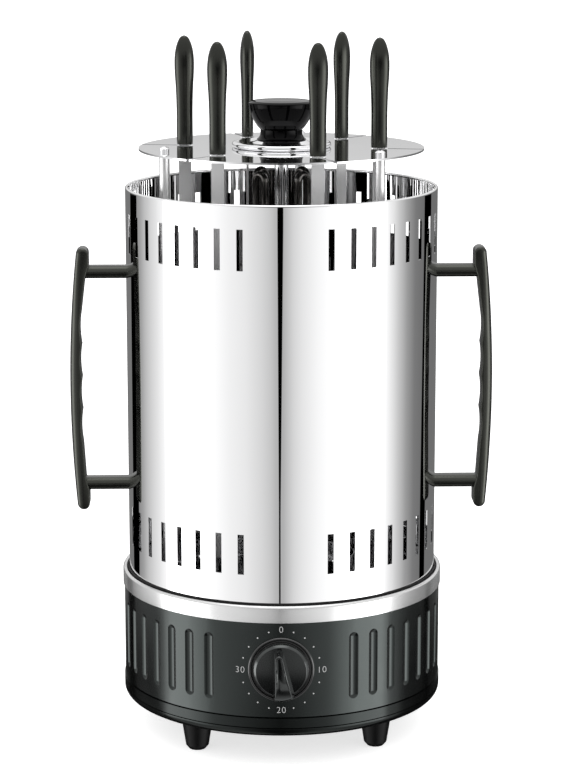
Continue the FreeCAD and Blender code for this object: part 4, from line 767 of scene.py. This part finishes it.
def makeBow(name, node, turn):
    b = bow
    outline, back = bowOutline()
    fillets = bowFillets(len(outline), back)
    outward = []
    for n, point in enumerate(outline):
        along = outline[(n + 1) % len(outline)] - outline[n - 1]
        outward.append(Vector((along.y, -along.x)).normalized())
    builder = bmesh.new()
    steps = 6
    angles = [math.pi / 2 * step / steps for step in range(steps + 1)]
    levels = [(-1, angle) for angle in angles] + [(1, angle) for angle in reversed(angles)]
    loops = []
    for side, angle in levels:
        loop = []
        for point, away, size in zip(outline, outward, fillets):
            inner = point - away * size * (1 - math.sin(angle))
            depth = side * (b["width"] / 2 - size * (1 - math.cos(angle)))
            loop.append(turned(turn) @ (Vector((inner.x, depth, inner.y)) * mm))
        loops.append(loop)
    skin(builder, loops)
    # stubs: stadium bars that end on the shell's curve
    flat, curve = (b["stubWidth"] - b["stubHeight"]) / 2, b["stubHeight"] / 2
    for middle in b["stubs"]:
        roots, ends = [], []
        for n in range(b["stubSegments"]):
            angle = 2 * math.pi * n / b["stubSegments"]
            across = (flat if math.cos(angle) >= 0 else -flat) + curve * math.cos(angle)
            height = middle + curve * math.sin(angle)
            root = math.sqrt(shell["radius"] ** 2 - across ** 2) - b["stubGap"]
            roots.append(turned(turn) @ (Vector((root, across, height)) * mm))
            ends.append(turned(turn) @ (Vector((b["stubEnd"], across, height)) * mm))
        skin(builder, [roots, ends])
    fit(newPiece(name, builder, bowBlack, 38), "shell", "handle_plastic", node)


makeShell()
makeBow("bowRight", "handle_right", shell["turn"])
makeBow("bowLeft", "handle_left", shell["turn"] + 180)
smoothCopy("handle_screws", "handleScrews", screwSteel, "shell", "screw_steel")
print("shell ready")

plateTop = 383.0
saucer = {"radius": 31.8, "rise": 3.6, "bead": 1.7, "dish": 1.2, "dishRadius": 19.8, "centre": 15.8,
          "top": 387.4, "rimBlend": 8.0, "dishBlend": 6.0, "centreBlend": 1.0}
pommel = {"foot": 387.3, "footRadius": 15.7, "footRound": 0.3, "footEdge": 388.2, "neck": 13.5,
          "neckLow": 391.4, "neckHigh": 394.4, "neckArc": 5.0, "neckTaper": 0.1, "bowl": 14.0,
          "bowlFoot": 394.8, "bulge": 27.0, "rim": 20.9, "rimHeight": 410.4, "rimTop": 411.6, "rimRound": 0.7,
          "crown": 18.6, "crownHeight": 412.6, "crownRound": 1.5, "dome": 11.16, "domeDrop": 0.2,
          "domeBlend": 8.0, "top": 413.4}


def makeSaucer():
    s = saucer
    edge = plateTop + s["rise"]
    profile = roundedProfile([
        (0, plateTop), (s["radius"], plateTop, s["bead"]), (s["radius"], edge, s["bead"]),
        (s["radius"] - 2 * s["bead"], edge, s["rimBlend"]),
        (s["dishRadius"], edge - s["dish"], s["dishBlend"]), (s["centre"], s["top"], s["centreBlend"]),
        (0, s["top"])], steps=12)
    fit(lathe("knobSaucer", profile, saucerChrome, 50), "base", "saucer_steel", "knob_saucer")


def makePommel():
    p = pommel
    foot, neck = (p["footRadius"], p["footEdge"]), (p["neck"], p["neckLow"])
    bowl, rim = (p["bowl"], p["bowlFoot"]), (p["rim"], p["rimHeight"])
    profile = roundedProfile([(0, p["foot"]), (p["footRadius"], p["foot"], p["footRound"]), foot])
    profile += arcBetween(foot, neck, p["neckArc"], -1, 10)
    profile += [neck, (p["neck"] - p["neckTaper"], p["neckHigh"]), bowl]
    profile += arcBetween(bowl, rim, p["bulge"], 1, 18)
    profile += roundedProfile([rim, (p["rim"], p["rimTop"], p["rimRound"]),
                               (p["crown"], p["crownHeight"], p["crownRound"]),
                               (p["dome"], p["top"] - p["domeDrop"], p["domeBlend"]), (0, p["top"])])
    fit(lathe("glossPommel", profile, pommelGloss, 30), "base", "gloss_knob", "top_knob")


makeSaucer()
makePommel()
smoothCopy("skewer_plate", "keyholePlate", plateSteel, "base", "plate_steel")
smoothCopy("posts", "platePosts", postSteel, "base", "plate_steel")
smoothCopy("cap_nuts", "capNuts", saucerChrome, "base", "plate_steel")
smoothCopy("centre_tube", "centreTube", rodSteel, "base", "plate_steel")
smoothCopy("heating_element", "heaterHairpins", sheathBlack, "base", "heater_sheath")
smoothCopy("heater_base", "heaterBase", ceramicDark, "base", "heater_ceramic")
smoothCopy("deck", "innerDeck", deckSteel, "base", "plate_steel")
print("top ready")

# Stations are (share of the length, share of the width).
grip = {"foot": 384.6, "length": 68.8, "width": 12.6, "depth": 9.4, "least": 0.02, "segments": 56,
        "stations": ((0, 0.74), (0.012, 0.82), (0.3, 0.82), (0.5, 0.88), (0.64, 0.97), (0.76, 1.0),
                     (0.86, 0.9), (0.94, 0.66), (0.985, 0.36), (1, 0.0))}


# A smooth curve through the stations.
def gripProfile(steps=6):
    points = [Vector(station) for station in grip["stations"]]
    curve = []
    for n, (a, b) in enumerate(zip(points, points[1:])):
        before, after = points[max(n - 1, 0)], points[min(n + 2, len(points) - 1)]
        curve += interpolate_bezier(a, a + (b - before) / 6, b - (after - a) / 6, b, steps + 1)[:-1]
    return [(share, max(min(wide, 1.0), grip["least"])) for share, wide in curve]


# The middle of the frame's own blade, and the way its width points.
def bladePlace(number):
    spots = [vert.co for vert in nodes[f"skewer_blade_{number}"].data.vertices]
    middle = sum(spots, Vector()) / len(spots)
    xx = sum((p.x - middle.x) ** 2 for p in spots)
    yy = sum((p.y - middle.y) ** 2 for p in spots)
    xy = sum((p.x - middle.x) * (p.y - middle.y) for p in spots)
    turn = 0.5 * math.atan2(2 * xy, xx - yy)
    return Matrix.Translation((middle.x, middle.y, 0)) @ Matrix.Rotation(turn, 4, "Z")


def makeSkewer(number):
    g, place = grip, bladePlace(number)
    turns = [2 * math.pi * n / g["segments"] for n in range(g["segments"])]
    loops = []
    for share, wide in gripProfile():
        height, width, depth = g["foot"] + g["length"] * share, g["width"] * wide / 2, g["depth"] * wide / 2
        loops.append([place @ (Vector((width * math.cos(turn), depth * math.sin(turn), height)) * mm)
                      for turn in turns])
    loops.append([place @ Vector((0, 0, (g["foot"] + g["length"]) * mm))])
    builder = bmesh.new()
    skin(builder, loops)
    body, spindle = f"skewer_{number}", f"spindle_{number}"
    piece = newPiece(f"skewerGrip{number}", builder, gripBlack, 50)
    fit(piece, body, "grip_plastic", f"skewer_handle_{number}")
    smoothCopy(f"skewer_blade_{number}", f"skewerBlade{number}", bladeSteel, body, "blade_steel")
    smoothCopy(f"drip_cup_{number}", f"dripCup{number}", cupSteel, spindle, "cup_steel")
    dress(f"spindle_gear_{number}", nylonGear)


for number in range(1, 7):
    makeSkewer(number)
print("skewers ready")

# Inside pieces keep their shape and get their finish.
inside = {"gear_plate": zincSteel, "spacers": zincSteel, "gear_hub": bushPlastic, "ring_gear": nylonGear,
          "spindle_bushes": bushPlastic, "motor_case": zincSteel, "motor_shaft": screwSteel,
          "motor_screws": screwSteel, "timer_case": innerPlastic, "timer_nut": screwSteel,
          "terminal_block": terminalIvory, "foot_screws": screwSteel, "pan_screws": screwSteel,
          "knob_stud": screwSteel}
for node, finish in inside.items():
    dress(node, finish)
print("inside ready")

# The studio as polished metal sees it. Walls are (azimuth, level): bright panels left and right, a soft front
# and a dim back. Gaps are dark joints in them: middle and width at gapHigh, then at gapLow. Sky is (height,
# level), with 1 straight above. Single pairs are the angles where a change begins and ends.
studio = {"walls": ((-180, 0.19), (-151, 0.18), (-136, 0.25), (-127, 0.36), (-121, 0.50), (-115, 0.62),
                    (-104, 0.82), (-96, 1.02), (-90, 3.3), (-72, 3.4), (-58, 2.1), (-50, 1.06), (-38, 0.93),
                    (-26, 0.85), (-14, 0.70), (-8, 0.60), (-3.5, 0.48), (1, 0.44), (3.4, 0.52), (9, 0.70),
                    (15, 0.82), (27, 0.99), (34, 1.06), (46, 2.2), (56, 3.4), (79, 3.8), (83, 1.05),
                    (88, 0.87), (96, 0.60), (106, 0.34), (116, 0.20), (129, 0.16)),
          "gaps": ((-0.6, 3.9, -1.2, 0.9), (-140.0, 14.0, -142.0, 14.0), (136.6, 13.5, 131.5, 9.0)),
          "gapHigh": -8.0, "gapLow": -14.6, "gapEdge": 3.0,
          "bandTop": (-7.3, -6.5), "bandFoot": (-17.9, -19.5), "front": (10.0, 45.0), "frontDark": 0.06,
          "sideFoot": (-16.4, -17.2), "side": (92.0, 100.0), "sideDark": 0.86,
          "groundFoot": (-21.0, -30.0), "groundOpen": 4.0, "ground": 0.75, "skyFoot": (0.0, 8.0),
          "sky": ((0.0, 0.74), (0.3, 0.79), (0.7, 1.0), (0.88, 1.0), (0.95, 2.4), (1.0, 2.4)), "soft": 1.0}


def fillRamp(ramp, stops):
    ramp.elements[0].position, ramp.elements[1].position = stops[0][0], stops[-1][0]
    for place, level in stops[1:-1]:
        ramp.elements.new(place)
    for element, (place, level) in zip(ramp.elements, stops):
        element.position = place
        element.color = (level, level, level, 1)


# Brightness of the walls for a direction: the panels, their gaps, the dark front and sides, and the ground.
def wallLight(g, azimuth, elevation):
    s = studio
    walls = g.add("ShaderNodeValToRGB", _0=g.calc("DIVIDE", g.calc("ADD", azimuth, 180.0), 360.0))
    fillRamp(walls.color_ramp, [((a + 180) / 360, level) for a, level in s["walls"]])
    shown = walls.outputs[0]
    # outside is 1 above and below the band that lights the shell
    above, below = g.spread(elevation, *s["bandTop"], 0.0, 1.0), g.spread(elevation, *s["bandFoot"], 0.0, 1.0)
    outside = g.calc("MAXIMUM", above, below)
    for highMiddle, highWidth, lowMiddle, lowWidth in s["gaps"]:
        middle = g.spread(elevation, s["gapLow"], s["gapHigh"], lowMiddle, highMiddle)
        half = g.spread(elevation, s["gapLow"], s["gapHigh"], lowWidth / 2, highWidth / 2)
        off = g.calc("ABSOLUTE", g.calc("SUBTRACT", azimuth, middle))
        beyond = g.times(g.calc("SUBTRACT", off, half), s["gapEdge"])
        beyond = g.add("ShaderNodeClamp", Value=beyond).outputs[0]
        shown = g.times(shown, g.calc("MAXIMUM", beyond, outside))
    off = g.calc("ABSOLUTE", azimuth)
    front = g.spread(off, *s["front"], 1.0 - s["frontDark"], 0.0)
    shown = g.times(shown, g.calc("SUBTRACT", 1.0, g.times(outside, front)))
    beneath = g.spread(elevation, *s["sideFoot"], 0.0, 1.0)
    far = g.spread(off, *s["side"], 0.0, s["sideDark"])
    shown = g.times(shown, g.calc("SUBTRACT", 1.0, g.times(beneath, far)))
    # the ground is never brighter than its own level
    return g.calc("MINIMUM", shown, g.spread(elevation, *s["groundFoot"], s["groundOpen"], s["ground"]))


def makeWorld():
    world = bpy.data.worlds.new("studio")
    scene.world = world
    world.use_nodes = True
    world.node_tree.nodes.clear()
    g = Graph(world.node_tree)
    apart = g.add("ShaderNodeSeparateXYZ", Vector=g.add("ShaderNodeTexCoord").outputs["Generated"]).outputs
    azimuth = g.calc("DEGREES", g.calc("ARCTAN2", apart["X"], g.times(apart["Y"], -1.0)))
    elevation = g.calc("DEGREES", g.calc("ARCSINE", apart["Z"]))
    sky = g.add("ShaderNodeValToRGB", _0=apart["Z"])
    fillRamp(sky.color_ramp, studio["sky"])
    rise = g.spread(elevation, *studio["skyFoot"], 0.0, 1.0)
    mixed = g.add("ShaderNodeMix", {"data_type": "FLOAT"}, _0=rise, _2=wallLight(g, azimuth, elevation),
                  _3=sky.outputs[0])
    # mirrors see the studio, the camera sees plain white, and all else gets soft light
    path = g.add("ShaderNodeLightPath").outputs
    mirrored, soft, white = [g.add("ShaderNodeBackground", Color=(1, 1, 1, 1), Strength=strength).outputs[0]
                             for strength in (mixed.outputs[0], studio["soft"], 1.0)]
    bounced = g.add("ShaderNodeMixShader", _0=path["Is Glossy Ray"], _1=soft, _2=mirrored)
    seen = g.calc("MAXIMUM", path["Is Camera Ray"], path["Is Transmission Ray"])
    view = g.add("ShaderNodeMixShader", _0=seen, _1=bounced.outputs[0], _2=white)
    g.add("ShaderNodeOutputWorld", Surface=view.outputs[0])


floor = {"size": 60.0, "colour": 0.93, "glow": 0.68}


def makeFloor():
    builder = bmesh.new()
    bmesh.ops.create_grid(builder, x_segments=1, y_segments=1, size=floor["size"] / 2)
    finish = bpy.data.materials.new("paleFloor")
    finish.use_nodes = True
    finish.node_tree.nodes.clear()
    g = Graph(finish.node_tree)
    base = g.add("ShaderNodeBsdfDiffuse", Color=(*[floor["colour"]] * 3, 1))
    path = g.add("ShaderNodeLightPath").outputs
    seen = g.calc("MAXIMUM", path["Is Glossy Ray"], path["Is Transmission Ray"])
    seen = g.calc("MAXIMUM", path["Is Camera Ray"], seen)
    glow = g.add("ShaderNodeEmission", Color=(1, 1, 1, 1), Strength=g.times(seen, floor["glow"]))
    both = g.add("ShaderNodeAddShader", _0=base.outputs[0], _1=glow.outputs[0])
    g.add("ShaderNodeOutputMaterial", Surface=both.outputs[0])
    mesh = bpy.data.meshes.new("floor")
    builder.to_mesh(mesh)
    builder.free()
    mesh.materials.append(finish)
    plane = addPiece("floor", mesh)
    plane.visible_glossy = False


view = {"place": (6.13, -1615.7, 558.5), "pitch": 11.522, "lens": 118.97, "sensor": 36.0}


def makeCamera():
    camera = bpy.data.cameras.new("camera")
    camera.lens = view["lens"]
    camera.sensor_width = view["sensor"]
    camera.clip_start, camera.clip_end = 0.05, 100
    holder = addPiece("camera", camera)
    holder.location = Vector(view["place"]) * mm
    holder.rotation_euler = (math.radians(90 - view["pitch"]), 0, 0)
    scene.camera = holder


makeWorld()
makeFloor()
makeCamera()
scene.view_settings.view_transform = "Standard"
print("studio ready")
